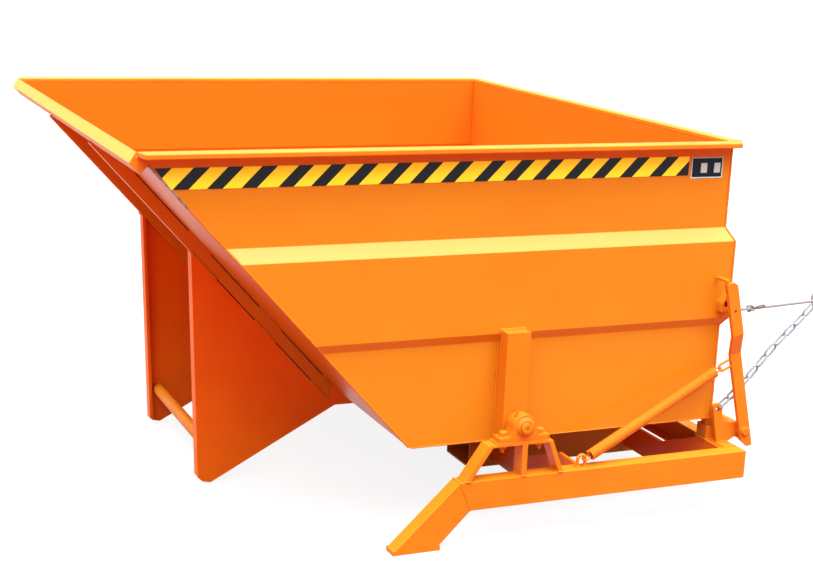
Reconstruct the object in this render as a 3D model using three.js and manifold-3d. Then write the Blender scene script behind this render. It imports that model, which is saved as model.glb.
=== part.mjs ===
// Self dumping hopper: a welded tipping box on a low base with fork pockets.
// Millimetres, +Z up. The box dumps towards -X, and the lifting forks enter from +X.
// Left is -Y and right is +Y, as seen by a driver behind the hopper who looks along -X.
import * as THREE from "three";
import { mergeVertices } from "three/addons/utils/BufferGeometryUtils.js";
import Module from "manifold-3d";

const wasm = await Module();
wasm.setup();

// Fits and facets
const seam = 0.3;
const overrun = 20;
const roundSides = 32;
const boltSides = 16;
const hexSides = 6;
const rodSides = 10;
const arcSteps = 12;
const mergeReach = 1e-4;

// Hopper box, measured from its front bottom corner
const sheet = 4;
const boxBottom = 235;
const wallTop = 982.5;
const slopeReach = 681.3;
const upperHalfWidth = 785;
const middleFlare = 22;
const lowerFlare = 10;
const upperRear = 899;
const middleRearFlare = 20;
const lowerRearFlare = 1;
const paleBandTop = 765;
const paleBandBottom = 730;
const darkBandTop = 521;
const darkBandBottom = 498.5;

// Rim, front lip and the ribs under the slope
const rimWidth = 49;
const rimRearWidth = 35;
const rimEndSlant = 10;
const rimThickness = 13;
const rimLead = 11.7;
const lipRise = 10;
const lipCrest = 1;
const lipDepth = 25;
const lipThickness = 29;
const ribDepth = 35;
const ribWall = 4;
const ribEnd = 24;

// Legs under the slope
const legPlate = 10;
const legMiddle = 278;
const legFlange = 35;
const legFrontTop = 426;
const legFrontFoot = 401;
const legFootHeight = 18;
const legToe = 387;
const legToeHeight = 5;
const legHeel = 364;
const legKnee = 6;
const legRear = 50;
const legDepth = 43;
const legTubeRadius = 17;
const legTubeReach = 372;
const legTubeHeight = 106;

// Trunnions that the box turns on
const pivotReach = 267;
const pivotHeight = 300;
const postWidth = 66;
const postDepth = 50;
const postWall = 6;
const postTop = 530;
const postLead = 1;
const shaftRadius = 15;
const shaftLead = 8;
const shaftStub = 11;

// Bearing blocks
const blockLength = 140;
const blockWidth = 38;
const blockFoot = 13;
const blockRise = 36.5;
const blockDome = 32;
const blockDomeWidth = 38;
const blockShoulder = 40;
const blockSeatRadius = 25;
const blockBoltSpacing = 105;
const insertWidth = 34;
const boltRadius = 6;
const boltHeadFlats = 19;
const boltHeadHeight = 10;
const boltEnd = 20;
const slabThickness = 4;
const blockOffset = 1.5;

// Pivot brackets on the rails
const bracketWall = 12;
const bracketBar = 5;
const bracketFrontSpread = 160;
const bracketRearSpread = 116;
const bracketFrontShoulder = 99;
const bracketRearShoulder = 82;
const ribThickness = 15;
const ribLead = 5;
const blockLead = 6;

// Base rails, skids and cross-members
const railClearance = 53;
const railWidth = 45;
const railHeight = 76;
const railBottom = 95;
const railWall = 5;
const railLead = 14;
const railTrail = 27;
const footThickness = 12;
const footToe = 82;
const footToeStep = 7;
const footHeel = 46;
const memberDepth = 41;
const memberWall = 6;

// Fork pockets and the cranked plates that carry them
const pocketInner = 236;
const pocketOuter = 388;
const pocketFront = 372;
const pocketHeight = 95;
const pocketWall = 6;
const crankPlate = 10;
const frontCrankSetback = 73;
const rearCrankSetback = 5;
const crankFlat = 94;
const crankSlope = 189;

// Rests under the rear of the box
const restInset = 25;
const restSetback = 34;
const restBlock = 44;
const restBlockHeight = 40;
const restBoltFlats = 36;

// Latch shaft, levers and their carriers
const latchSetback = 40;
const latchRise = 30;
const latchShaftRadius = 15;
const leverLean = THREE.MathUtils.degToRad(13.6);
const leverWidth = 33;
const leverThickness = 12;
const leverTop = 440;
const leverTail = 46;
const leverTailWidth = 16;
const leverInset = 2;
const leverJog = 24;
const leverJogTop = 292;
const leverJogBottom = 232;
const leverTopChamfer = 10;
const fingerRadius = 5;
const fingerClearance = 5;
const fingerSink = 1;
const fingerRise = 9;
const carrierThickness = 12;
const carrierClearance = 8;
const carrierEdge = 13;
const carrierShoulder = 55;
const carrierLead = 37;
const earRadius = 15;
const earHole = 7;
const earLead = 4;
const earRise = 40;
const earFillet = 22;

// Catch lugs on the box sides
const lugSetback = 4;
const lugLength = 37;
const lugBottom = 542;
const lugShoulder = 566;
const lugTop = 588;
const lugDepth = 22;

// Return springs with their eyes
const eyeRod = 4.5;
const eyeBend = 11;
const eyeLeg = 20;
const eyeLead = 64.5;
const eyeInset = 23;
const springRadius = 12;
const springWire = 3;
const springCurls = 45;
const curlSteps = 8;
const curlSides = 5;
const springLead = 9;
const leverEyeHeight = 209;
const leverEyeLength = 41;
const leverEyeBend = 10;
const leverEyeRod = 3.5;

// Warning tapes and the blank label
const tapeThickness = 1;
const tapeFront = 652;
const tapeRear = 766;
const tapeDrop = 25.5;
const tapeWidth = 49.5;
const labelGap = 1;
const labelRear = 878;
const labelDrop = 26.5;
const labelHeight = 58;

// Release rope and safety chain, both taut towards the driver
const ropeRadius = 4;
const ropeSides = 8;
const ropeHeight = 360;
const ropeLoop = 26;
const ropePoints = [[1010, -856, 557], [1100, -856, 561], [1185, -856, 565]];
const chainRadius = 8;
const chainSides = 8;
const chainRing = 24;
const chainPoints = [[975, -812, 324], [1075, -808, 426], [1150, -804, 490], [1215, -800, 548]];

// Places that follow from the sizes above
const middleHalfWidth = upperHalfWidth + middleFlare;
const lowerHalfWidth = upperHalfWidth + lowerFlare;
const middleRear = upperRear + middleRearFlare;
const lowerRear = upperRear + lowerRearFlare;
const rimFrontReach = slopeReach + rimLead;
const tapeTop = wallTop - tapeDrop;
const tapeBottom = tapeTop - tapeWidth;
const labelTop = wallTop - labelDrop;
const labelBottom = labelTop - labelHeight;
const railInner = middleHalfWidth + railClearance;
const railOuter = railInner + railWidth;
const railTop = railBottom + railHeight;
const bracketFootFront = pivotReach - bracketFrontSpread;
const bracketFootRear = pivotReach + bracketRearSpread;
const bracketTopFront = pivotReach - bracketFrontShoulder;
const bracketTopRear = pivotReach + bracketRearShoulder;
const railFront = bracketFootFront - railLead;
const railRear = middleRear + railTrail;
const blockMiddle = (railInner + railOuter) / 2 + blockOffset;
const shaftInner = lowerHalfWidth + shaftLead;
const shaftOuter = railOuter + shaftStub;
const frontCrank = pocketFront + frontCrankSetback;
const rearCrank = railRear - memberDepth - rearCrankSetback - crankPlate;
const crankShoulder = railInner - crankFlat;
const crankKnee = crankShoulder - crankSlope;
const restMiddle = lowerHalfWidth - restInset;
const restReach = railRear - restSetback;
const latchReach = railRear + latchSetback;
const latchHeight = railTop + latchRise;
const leverUpperOuter = railInner + leverInset;
const leverLowerOuter = leverUpperOuter - leverJog;
const fingerInner = middleHalfWidth + fingerClearance;
const carrierOuter = leverLowerOuter - leverThickness - carrierClearance;
const carrierFront = railRear - carrierLead;
const earReach = carrierFront - earLead;
const earHeight = railTop + carrierShoulder + earRise;
const lugRear = middleRear - lugSetback;
const lugFront = lugRear - lugLength;
const eyeReach = bracketFootRear + eyeLead;
const eyeSide = railOuter - eyeInset;

const finishes = {
  paint: { color: 0xf8831c, roughness: 0.38, metalness: 0.05 },
  weldedPaint: { color: 0xf27a1a, roughness: 0.45, metalness: 0.05 },
  tape: { color: 0xffe020, roughness: 0.5, metalness: 0 },
  label: { color: 0x171a22, roughness: 0.45, metalness: 0 },
  rope: { color: 0xf2f2ee, roughness: 0.9, metalness: 0 },
  zinc: { color: 0xd9dde0, roughness: 0.35, metalness: 0.8 },
};

// Solids from geometries, and geometries from solids
function solid(geometry) {
  const bare = geometry.clone();
  bare.deleteAttribute("normal");
  bare.deleteAttribute("uv");
  const merged = mergeVertices(bare, mergeReach);
  const vertProperties = new Float32Array(merged.attributes.position.array);
  const triVerts = new Uint32Array(merged.index.array);
  return new wasm.Manifold(new wasm.Mesh({ numProp: 3, vertProperties, triVerts }));
}

function geometryOf(shape) {
  const mesh = shape.getMesh();
  const geometry = new THREE.BufferGeometry();
  geometry.setAttribute("position", new THREE.BufferAttribute(mesh.vertProperties, 3));
  geometry.setIndex(new THREE.BufferAttribute(mesh.triVerts, 1));
  return geometry;
}

function cut(geometry, ...tools) {
  return geometryOf(tools.reduce((left, tool) => left.subtract(solid(tool)), solid(geometry)));
}

function join(...geometries) {
  return geometryOf(geometries.map(solid).reduce((sum, next) => sum.add(next)));
}

function common(first, second) {
  return geometryOf(solid(first).intersect(solid(second)));
}

// Extrusions of a flat outline along X, Y or Z, between two places on that axis
function extrude(points, from, to) {
  const outline = new THREE.Shape(points.map(([across, up]) => new THREE.Vector2(across, up)));
  const geometry = new THREE.ExtrudeGeometry(outline, { depth: Math.abs(to - from), bevelEnabled: false });
  return geometry.translate(0, 0, Math.min(from, to));
}

function alongX(points, from, to) {
  const turn = new THREE.Matrix4().set(0, 0, 1, 0, 1, 0, 0, 0, 0, 1, 0, 0, 0, 0, 0, 1);
  return extrude(points, from, to).applyMatrix4(turn);
}

function alongY(points, from, to) {
  return extrude(points, -from, -to).rotateX(Math.PI / 2);
}

function block(left, right, front, back, bottom, top) {
  const geometry = new THREE.BoxGeometry(right - left, Math.abs(back - front), top - bottom);
  return geometry.translate((left + right) / 2, (front + back) / 2, (bottom + top) / 2);
}

function roundY(radius, x, z, from, to, sides = roundSides) {
  const geometry = new THREE.CylinderGeometry(radius, radius, Math.abs(to - from), sides);
  return geometry.translate(x, (from + to) / 2, z);
}

function roundZ(radius, x, y, bottom, top, sides = roundSides) {
  const geometry = new THREE.CylinderGeometry(radius, radius, top - bottom, sides).rotateX(Math.PI / 2);
  return geometry.translate(x, y, (bottom + top) / 2);
}

function hexZ(flats, x, y, bottom, top) {
  return roundZ(flats / Math.sqrt(3), x, y, bottom, top, hexSides);
}

function roundOutline(radius, sides) {
  const corners = Array.from({ length: sides }, (_, index) => (index * 2 * Math.PI) / sides);
  return new THREE.Shape(corners.map((angle) => new THREE.Vector2(radius * Math.cos(angle), radius * Math.sin(angle))));
}

function tube(curve, radius, sides, steps) {
  curve.arcLengthDivisions = steps * curlSteps;
  return new THREE.ExtrudeGeometry(roundOutline(radius, sides), { extrudePath: curve, steps, bevelEnabled: false });
}

// A rod bent in a U in the XZ plane: two upright legs joined by a half circle
class BentRod extends THREE.Curve {
  constructor(leg, bend) {
    super();
    this.leg = leg;
    this.bend = bend;
  }

  getPoint(share) {
    const arc = Math.PI * this.bend;
    const along = share * (2 * this.leg + arc);
    if (along < this.leg) {
      return new THREE.Vector3(-this.bend, 0, along);
    }
    if (along > this.leg + arc) {
      return new THREE.Vector3(this.bend, 0, 2 * this.leg + arc - along);
    }
    const angle = Math.PI - (along - this.leg) / this.bend;
    return new THREE.Vector3(this.bend * Math.cos(angle), 0, this.leg + this.bend * Math.sin(angle));
  }
}

function bentRod(leg, bend, rod) {
  return tube(new BentRod(leg, bend), rod, rodSides, arcSteps * 2);
}

// A coil spring along +Z: a straight end, a widening curl, the curls, and the same again
class Coil extends THREE.Curve {
  constructor(length, lead, radius, curls) {
    super();
    this.length = length;
    this.lead = lead;
    this.radius = radius;
    this.curls = curls;
  }

  getPoint(share) {
    const turnLength = 2 * Math.PI * this.radius;
    const wound = turnLength * (this.curls - 1);
    const along = share * (2 * this.lead + wound) - this.lead;
    if (along < 0) {
      return new THREE.Vector3(0, 0, this.lead + along);
    }
    if (along > wound) {
      return new THREE.Vector3(0, 0, this.length - this.lead + along - wound);
    }
    const turns = (along / wound) * this.curls;
    const widen = Math.min(1, 2 * turns, 2 * (this.curls - turns));
    const radius = this.radius * Math.sin((widen * Math.PI) / 2);
    const height = this.lead + (turns / this.curls) * (this.length - 2 * this.lead);
    const angle = turns * 2 * Math.PI;
    return new THREE.Vector3(radius * Math.cos(angle), radius * Math.sin(angle), height);
  }
}

function leastGap(curve, steps, wire) {
  const points = curve.getSpacedPoints(steps);
  const apart = curlSteps - 2;
  let least = Infinity;
  for (let first = 0; first < points.length; first += 1) {
    for (let second = first + apart; second < Math.min(points.length, first + 3 * curlSteps); second += 1) {
      least = Math.min(least, points[first].distanceTo(points[second]) - 2 * wire);
    }
  }
  return least;
}

// Profiles of the pressed walls, from the outside, grown inwards by a depth
const levels = [paleBandTop, paleBandBottom, darkBandTop, darkBandBottom];

function wallProfile(upper, middle, lower, depth, bottom = boxBottom) {
  return [
    [upper - depth, wallTop],
    [upper - depth, levels[0]],
    [middle - depth, levels[1]],
    [middle - depth, levels[2]],
    [lower - depth, levels[3]],
    [lower - depth, bottom],
  ];
}

function wallBand(upper, middle, lower, from, to) {
  const outer = wallProfile(upper, middle, lower, from);
  const inner = wallProfile(upper, middle, lower, to);
  return [...outer, ...inner.reverse()];
}

function mirrored(points) {
  return [...points, ...points.map(([across, up]) => [-across, up]).reverse()];
}

const sideHalfWidths = [upperHalfWidth, middleHalfWidth, lowerHalfWidth];
const rearReaches = [upperRear, middleRear, lowerRear];
const slopeLength = Math.hypot(slopeReach, wallTop - boxBottom);
const slopeRun = slopeReach / (wallTop - boxBottom);
const slopeCos = slopeReach / slopeLength;
const slopeSin = (wallTop - boxBottom) / slopeLength;

function slopeAt(height, depth = 0) {
  return -(height - boxBottom) * slopeRun + depth / slopeSin;
}

function heightAt(reach) {
  return boxBottom + reach / slopeRun;
}

// Box walls
function sideWall(sign) {
  const band = wallBand(...sideHalfWidths, 0, sheet).map(([across, up]) => [sign * across, up]);
  const strip = alongX(band, slopeAt(wallTop) - overrun, middleRear);
  const rear = wallProfile(...rearReaches, sheet + seam);
  const outline = [...rear, [0, boxBottom], [slopeAt(wallTop), wallTop]];
  return common(strip, alongY(outline, sign * (upperHalfWidth - overrun), sign * (middleHalfWidth + overrun)));
}

function rearWall() {
  const sheetOutline = wallBand(...rearReaches, 0, sheet);
  const widths = mirrored(wallProfile(...sideHalfWidths, 0));
  const span = alongY(sheetOutline, -middleHalfWidth, middleHalfWidth);
  return common(span, alongX(widths, upperRear - overrun, middleRear + overrun));
}

function floorPlate() {
  const half = lowerHalfWidth - sheet - seam;
  const front = slopeAt(boxBottom + sheet, sheet + seam);
  const start = slopeAt(boxBottom, sheet + seam);
  const outline = [
    [start, boxBottom],
    [lowerRear - sheet - seam, boxBottom],
    [lowerRear - sheet - seam, boxBottom + sheet],
    [front, boxBottom + sheet],
  ];
  return alongY(outline, -half, half);
}

function slopePlate() {
  const outline = [
    [slopeAt(boxBottom), boxBottom],
    [slopeAt(boxBottom, sheet), boxBottom],
    [slopeAt(wallTop, sheet), wallTop],
    [slopeAt(wallTop), wallTop],
  ];
  const widths = mirrored(wallProfile(...sideHalfWidths, sheet + seam));
  const span = alongY(outline, -middleHalfWidth, middleHalfWidth);
  return common(span, alongX(widths, slopeAt(wallTop) - overrun, overrun));
}

// Points of the slope: down it from its top edge, and out from its outer face
function offSlope(along, out) {
  return [
    slopeAt(wallTop) + along * slopeCos - out * slopeSin,
    wallTop - along * slopeSin - out * slopeCos,
  ];
}

// A bar along the top edge of the slope, with a crest as high as the rim
function lipBar() {
  const level = wallTop - seam;
  const crest = wallTop + rimThickness;
  const outline = [
    [slopeAt(level, -seam), level],
    offSlope(lipDepth, seam),
    offSlope(lipDepth, lipThickness),
    offSlope(-lipRise, lipThickness),
    [-rimFrontReach - lipCrest, crest],
    [-rimFrontReach - seam, crest],
    [-rimFrontReach - seam, level],
  ];
  return alongY(outline, -upperHalfWidth, upperHalfWidth);
}

// A square tube from the lip down to the foot of the slope, in line with a leg
function slopeRib(sign) {
  const section = (near, far, beyond = 0) => [
    offSlope(lipDepth + seam - beyond, near),
    offSlope(lipDepth + seam - beyond, far),
    [beyond - ribEnd, heightAt(ribEnd - beyond) - far / slopeCos],
    [beyond - ribEnd, heightAt(ribEnd - beyond) - near / slopeCos],
  ];
  const outer = sign * (legMiddle + legPlate / 2);
  const inner = outer - sign * legFlange;
  const bar = alongY(section(seam, ribDepth), inner, outer);
  const hollow = section(seam + ribWall, ribDepth - ribWall, overrun);
  return cut(bar, alongY(hollow, inner + sign * ribWall, outer - sign * ribWall));
}

function sideRim(sign) {
  const inner = sign * (upperHalfWidth - sheet);
  const outer = inner + sign * rimWidth;
  const outline = [
    [-rimFrontReach, inner],
    [rimEndSlant - rimFrontReach, outer],
    [upperRear, outer],
    [upperRear - sheet + rimRearWidth, inner],
  ];
  return extrude(outline, wallTop, wallTop + rimThickness);
}

function rearRim() {
  const half = upperHalfWidth - sheet;
  const front = upperRear - sheet;
  return block(front, front + rimRearWidth, -half, half, wallTop, wallTop + rimThickness);
}

// Legs, with a flange turned towards the middle along the front edge
function legPlateOf(sign) {
  const under = (reach, gap = ribDepth + seam) => [-reach, heightAt(reach) - gap / slopeCos];
  const kneeHeight = boxBottom - legDepth;
  const edge = [
    under(legFrontTop),
    [-legFrontFoot, legFootHeight],
    [-legToe, legToeHeight],
    [-legHeel, 0],
    [-legKnee, kneeHeight],
    [legRear, kneeHeight],
    [legRear, boxBottom - seam],
    [-seam, boxBottom - seam],
    under(ribEnd - seam, seam),
    under(ribEnd - seam),
  ];
  const outer = sign * (legMiddle + legPlate / 2);
  const inner = sign * (legMiddle - legPlate / 2);
  const flange = [
    under(legFrontTop),
    [-legFrontFoot, legFootHeight],
    [-legFrontFoot + legPlate, legFootHeight],
    under(legFrontTop - legPlate),
  ];
  return join(alongY(edge, inner, outer), alongY(flange, outer - sign * legFlange, outer));
}

function legTube() {
  const half = legMiddle - legPlate / 2;
  const bar = roundY(legTubeRadius, -legTubeReach, legTubeHeight, -half, half);
  return cut(bar, roundY(legTubeRadius - sheet, -legTubeReach, legTubeHeight, -half - overrun, half + overrun));
}

// Trunnions
function trunnionPost(sign) {
  const left = pivotReach - postLead - postWidth / 2;
  const right = left + postWidth;
  const outer = lowerHalfWidth + postDepth;
  const shell = block(left, right, sign * (lowerHalfWidth - sheet), sign * outer, boxBottom, postTop);
  const room = block(
    left + postWall,
    right - postWall,
    sign * (lowerHalfWidth - overrun),
    sign * (outer - postWall),
    boxBottom - overrun,
    postTop - postWall,
  );
  const wall = wallProfile(...sideHalfWidths, -seam, boxBottom - overrun).map(([across, up]) => [sign * across, up]);
  const side = alongX([...wall, [0, boxBottom - overrun], [0, wallTop]], left - overrun, right + overrun);
  const hole = roundY(shaftRadius + seam, pivotReach, pivotHeight, sign * lowerHalfWidth, sign * (outer + overrun));
  return cut(shell, room, side, hole);
}

function trunnionShaft(sign) {
  return roundY(shaftRadius, pivotReach, pivotHeight, sign * shaftInner, sign * shaftOuter);
}

// Bearing blocks, their inserts and bolts
const slabTop = pivotHeight - blockRise;
const slabBottom = slabTop - slabThickness;
const blockFront = pivotReach - blockLength / 2;
const blockRear = pivotReach + blockLength / 2;
const blockBolts = [pivotReach - blockBoltSpacing / 2, pivotReach + blockBoltSpacing / 2];

function bearingHousing(sign) {
  const from = sign * (blockMiddle - blockWidth / 2);
  const to = sign * (blockMiddle + blockWidth / 2);
  const domeFrom = sign * (blockMiddle - blockDomeWidth / 2);
  const domeTo = sign * (blockMiddle + blockDomeWidth / 2);
  const foot = block(blockFront, blockRear, from, to, slabTop, slabTop + blockFoot);
  const dome = roundY(blockDome, pivotReach, pivotHeight, domeFrom, domeTo);
  const shoulderHeight = pivotHeight + blockDome * Math.SQRT1_2;
  const neckOutline = [
    [pivotReach - blockShoulder, slabTop],
    [pivotReach + blockShoulder, slabTop],
    [pivotReach + blockShoulder, slabTop + blockFoot],
    [pivotReach + blockDome * Math.SQRT1_2, shoulderHeight],
    [pivotReach - blockDome * Math.SQRT1_2, shoulderHeight],
    [pivotReach - blockShoulder, slabTop + blockFoot],
  ];
  const neck = alongY(neckOutline, domeFrom, domeTo);
  const bore = roundY(blockSeatRadius, pivotReach, pivotHeight, from - sign * overrun, to + sign * overrun);
  const holes = blockBolts.map((place) =>
    roundZ(boltRadius + seam, place, sign * blockMiddle, slabTop - overrun, slabTop + blockFoot + overrun, boltSides),
  );
  return cut(join(foot, neck, dome), bore, ...holes);
}

function bearingInsert(sign) {
  const from = sign * (blockMiddle - insertWidth / 2);
  const to = sign * (blockMiddle + insertWidth / 2);
  const ring = roundY(blockSeatRadius - seam, pivotReach, pivotHeight, from, to);
  const bore = roundY(shaftRadius + seam, pivotReach, pivotHeight, from - sign * overrun, to + sign * overrun);
  return cut(ring, bore);
}

function bearingBolt(sign, place) {
  const across = sign * blockMiddle;
  const headBottom = slabTop + blockFoot;
  const nutTop = slabBottom - bracketBar;
  const nutBottom = nutTop - boltHeadHeight;
  const head = hexZ(boltHeadFlats, place, across, headBottom, headBottom + boltHeadHeight);
  const nut = hexZ(boltHeadFlats, place, across, nutBottom, nutTop);
  const shank = roundZ(boltRadius, place, across, nutTop - boltEnd, headBottom + boltHeadHeight / 2, boltSides);
  return join(head, nut, shank);
}

function bearingSlab(sign) {
  const outer = sign * railOuter;
  const inner = sign * railInner;
  const slab = block(blockFront - blockLead, blockRear - blockLead, inner, outer, slabBottom, slabTop);
  const holes = blockBolts.map((place) =>
    roundZ(boltRadius + seam, place, sign * blockMiddle, slabBottom - overrun, slabTop + overrun, boltSides),
  );
  return cut(slab, ...holes);
}

// A bracket bent from flat bar: two slanted legs, a top bar and a rib between
function pivotBracket(sign) {
  const foot = railBottom + railHeight;
  const rise = slabBottom - foot;
  const frontRun = bracketTopFront - bracketFootFront;
  const rearRun = bracketFootRear - bracketTopRear;
  const frontWall = (bracketWall * Math.hypot(frontRun, rise)) / rise;
  const rearWall = (bracketWall * Math.hypot(rearRun, rise)) / rise;
  const windowShare = (rise - bracketBar) / rise;
  const outline = [
    [bracketFootFront, foot],
    [bracketFootRear, foot],
    [bracketTopRear, slabBottom],
    [bracketTopFront, slabBottom],
  ];
  const windowTop = slabBottom - bracketBar;
  const opening = [
    [bracketFootFront + frontWall - (overrun * frontRun) / rise, foot - overrun],
    [bracketFootRear - rearWall + (overrun * rearRun) / rise, foot - overrun],
    [bracketFootRear - rearWall - windowShare * rearRun, windowTop],
    [bracketFootFront + frontWall + windowShare * frontRun, windowTop],
  ];
  const from = sign * railInner;
  const to = sign * railOuter;
  const frame = cut(alongY(outline, from, to), alongY(opening, from - sign * overrun, to + sign * overrun));
  const ribFront = pivotReach - ribLead;
  const rib = block(ribFront, ribFront + ribThickness, from, to, foot, windowTop + bracketBar / 2);
  const holes = blockBolts.map((place) =>
    roundZ(boltRadius + seam, place, sign * blockMiddle, windowTop - overrun, slabBottom + overrun, boltSides),
  );
  return cut(join(frame, rib), ...holes);
}

// Rails, skids and the rear cross-member
const mitre = railHeight * Math.tan(Math.PI / 8);

function baseRail(sign) {
  const outline = [
    [railFront, railTop],
    [railFront + mitre, railBottom],
    [railRear, railBottom],
    [railRear, railTop],
  ];
  const bar = alongY(outline, sign * railInner, sign * railOuter);
  const bore = block(
    railFront - overrun,
    railRear - railWall,
    sign * (railInner + railWall),
    sign * (railOuter - railWall),
    railBottom + railWall,
    railTop - railWall,
  );
  return cut(bar, bore);
}

function frontSkid(sign) {
  const gap = seam / Math.cos(Math.PI / 8);
  const topEnd = footToeStep - footToe;
  const lowEnd = railFront + mitre - (railBottom - footThickness);
  const outline = [
    [railFront - gap, railTop],
    [topEnd - gap, footThickness],
    [lowEnd - gap, footThickness],
    [railFront + mitre - gap, railBottom],
  ];
  const inner = sign * railInner;
  const outer = sign * railOuter;
  const foot = block(-footToe, footHeel, inner, outer, 0, footThickness + seam);
  return join(alongY(outline, inner, outer), foot);
}

function rearMember() {
  const half = railInner;
  const front = railRear - memberDepth;
  const outline = [
    [front, railBottom],
    [railRear, railBottom],
    [railRear, railTop],
    [front, railTop],
    [front, railTop - memberWall],
    [railRear - memberWall, railTop - memberWall],
    [railRear - memberWall, railBottom + memberWall],
    [front, railBottom + memberWall],
  ];
  return alongY(outline, -half, half);
}

// Fork pockets and the cranked plates between a rail and a pocket
function forkPocket(sign) {
  const front = sign * pocketInner;
  const back = sign * pocketOuter;
  const walls = block(pocketFront, railRear, front, back, 0, pocketHeight);
  const bore = block(
    pocketFront - overrun,
    railRear + overrun,
    front + sign * pocketWall,
    back - sign * pocketWall,
    pocketWall,
    pocketHeight - pocketWall,
  );
  return cut(walls, bore);
}

function crankedPlate(sign, place) {
  const low = pocketHeight - railHeight;
  const outline = [
    [railInner, railTop],
    [crankShoulder, railTop],
    [crankKnee, pocketHeight],
    [pocketOuter, pocketHeight],
    [pocketOuter, low],
    [crankKnee, low],
    [crankShoulder, railBottom],
    [railInner, railBottom],
  ].map(([across, up]) => [sign * across, up]);
  return alongX(outline, place, place + crankPlate);
}

// Rests: a block on the rear member with a set bolt that the box floor sits on
function rearRest(sign) {
  const across = sign * restMiddle;
  const half = restBlock / 2;
  const top = railTop + restBlockHeight;
  const seat = block(restReach - half, restReach + half, across - half, across + half, railTop, top);
  const bolt = hexZ(restBoltFlats, restReach, across, top - sheet, boxBottom - seam);
  return join(seat, bolt);
}

// Latch: a cross shaft in two carriers, with a cranked lever at each end
function latchShaft() {
  const half = leverLowerOuter - leverThickness;
  return roundY(latchShaftRadius, latchReach, latchHeight, -half, half);
}

function shaftCarrier(sign) {
  const inner = sign * (carrierOuter - carrierThickness);
  const outer = sign * carrierOuter;
  const reach = latchShaftRadius + carrierEdge;
  const top = railTop + carrierShoulder;
  const tail = [
    [latchReach + reach * Math.SQRT1_2, latchHeight + reach * Math.SQRT1_2],
    [latchReach + reach, latchHeight],
    [latchReach + reach * Math.SQRT1_2, latchHeight - reach * Math.SQRT1_2],
    [latchReach, latchHeight - reach],
    [latchReach - reach * Math.SQRT1_2, latchHeight - reach * Math.SQRT1_2],
    [railRear, railTop],
    [carrierFront, railTop],
  ];
  const arm = [
    [earReach - earRadius, earHeight],
    [earReach + earRadius, earHeight],
    [earReach + earRadius, top + earFillet],
    [earReach + earRadius + earFillet * (1 - Math.SQRT1_2), top + earFillet * (1 - Math.SQRT1_2)],
    [earReach + earRadius + earFillet, top],
  ];
  const plain = [
    [carrierFront, top],
    [railRear, top],
  ];
  const hole = roundY(latchShaftRadius + seam, latchReach, latchHeight, inner - sign * overrun, outer + sign * overrun);
  const plate = cut(alongY([...tail, ...(sign > 0 ? plain : arm)], inner, outer), hole);
  if (sign > 0) {
    return plate;
  }
  const ear = roundY(earRadius, earReach, earHeight, inner, outer);
  return cut(join(plate, ear), roundY(earHole, earReach, earHeight, inner - sign * overrun, outer + sign * overrun));
}

// Lever in its own frame: the shaft axis is the origin and +Z runs up the lever
const springAim = new THREE.Vector2(eyeReach, railTop + eyeLeg);

function leverEyeRoot() {
  const lean = new THREE.Vector2(-Math.sin(leverLean), Math.cos(leverLean));
  const across = new THREE.Vector2(Math.cos(leverLean), Math.sin(leverLean));
  return new THREE.Vector2(latchReach, latchHeight)
    .addScaledVector(lean, leverEyeHeight)
    .addScaledVector(across, -leverWidth / 2);
}

function leverEyeTurn() {
  const aim = springAim.clone().sub(leverEyeRoot());
  return Math.atan2(aim.x, aim.y) + leverLean;
}

function lever(sign) {
  const half = leverWidth / 2;
  const outline = [
    [-half, -leverTail / 2],
    [half - leverTailWidth, -leverTail],
    [half, -leverTail],
    [half, leverTop - leverTopChamfer],
    [half - leverTopChamfer, leverTop],
    [-half, leverTop],
  ];
  const profile = [
    [leverLowerOuter, -leverTail - overrun],
    [leverLowerOuter, leverJogBottom],
    [leverUpperOuter, leverJogTop],
    [leverUpperOuter, leverTop + overrun],
    [leverUpperOuter - leverThickness, leverTop + overrun],
    [leverUpperOuter - leverThickness, leverJogTop],
    [leverLowerOuter - leverThickness, leverJogBottom],
    [leverLowerOuter - leverThickness, -leverTail - overrun],
  ].map(([across, up]) => [sign * across, up]);
  const outside = sign * (leverUpperOuter + leverJog);
  const bar = common(alongY(outline, 0, outside), alongX(profile, -leverWidth, leverWidth));
  const middle = sign * (leverUpperOuter - leverThickness / 2);
  const fingerPlace = -half + fingerRadius;
  const fingerHeight = leverTop + fingerRise;
  const stem = roundZ(fingerRadius, fingerPlace, middle, leverTop - fingerSink, fingerHeight, boltSides);
  const arm = roundY(fingerRadius, fingerPlace, fingerHeight, sign * fingerInner, middle, boltSides);
  const knuckle = new THREE.SphereGeometry(fingerRadius, boltSides, boltSides / 2);
  const finger = join(stem, arm, knuckle.translate(fingerPlace, middle, fingerHeight));
  const ropeHole = roundY(ropeRadius + seam, 0, ropeHeight, 0, outside, boltSides);
  const eye = bentRod(leverEyeLength - leverEyeBend - leverEyeRod, leverEyeBend, leverEyeRod);
  eye.rotateY(leverEyeTurn());
  eye.translate(-half, sign * (leverLowerOuter - leverThickness / 2), leverEyeHeight);
  return join(cut(bar, ropeHole), finger, eye);
}

function catchLug(sign) {
  const inner = middleHalfWidth + seam;
  const outline = [
    [lugFront, lugBottom],
    [lugRear, lugBottom],
    [lugRear, lugShoulder],
    [(lugFront + lugRear) / 2, lugTop],
    [lugFront, lugShoulder],
  ];
  return alongY(outline, sign * inner, sign * (inner + lugDepth));
}

// Return springs between the rail eyes and the lever eyes
function springEye(sign) {
  const eye = bentRod(eyeLeg, eyeBend, eyeRod);
  return eye.translate(eyeReach, sign * eyeSide, railTop);
}

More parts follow.
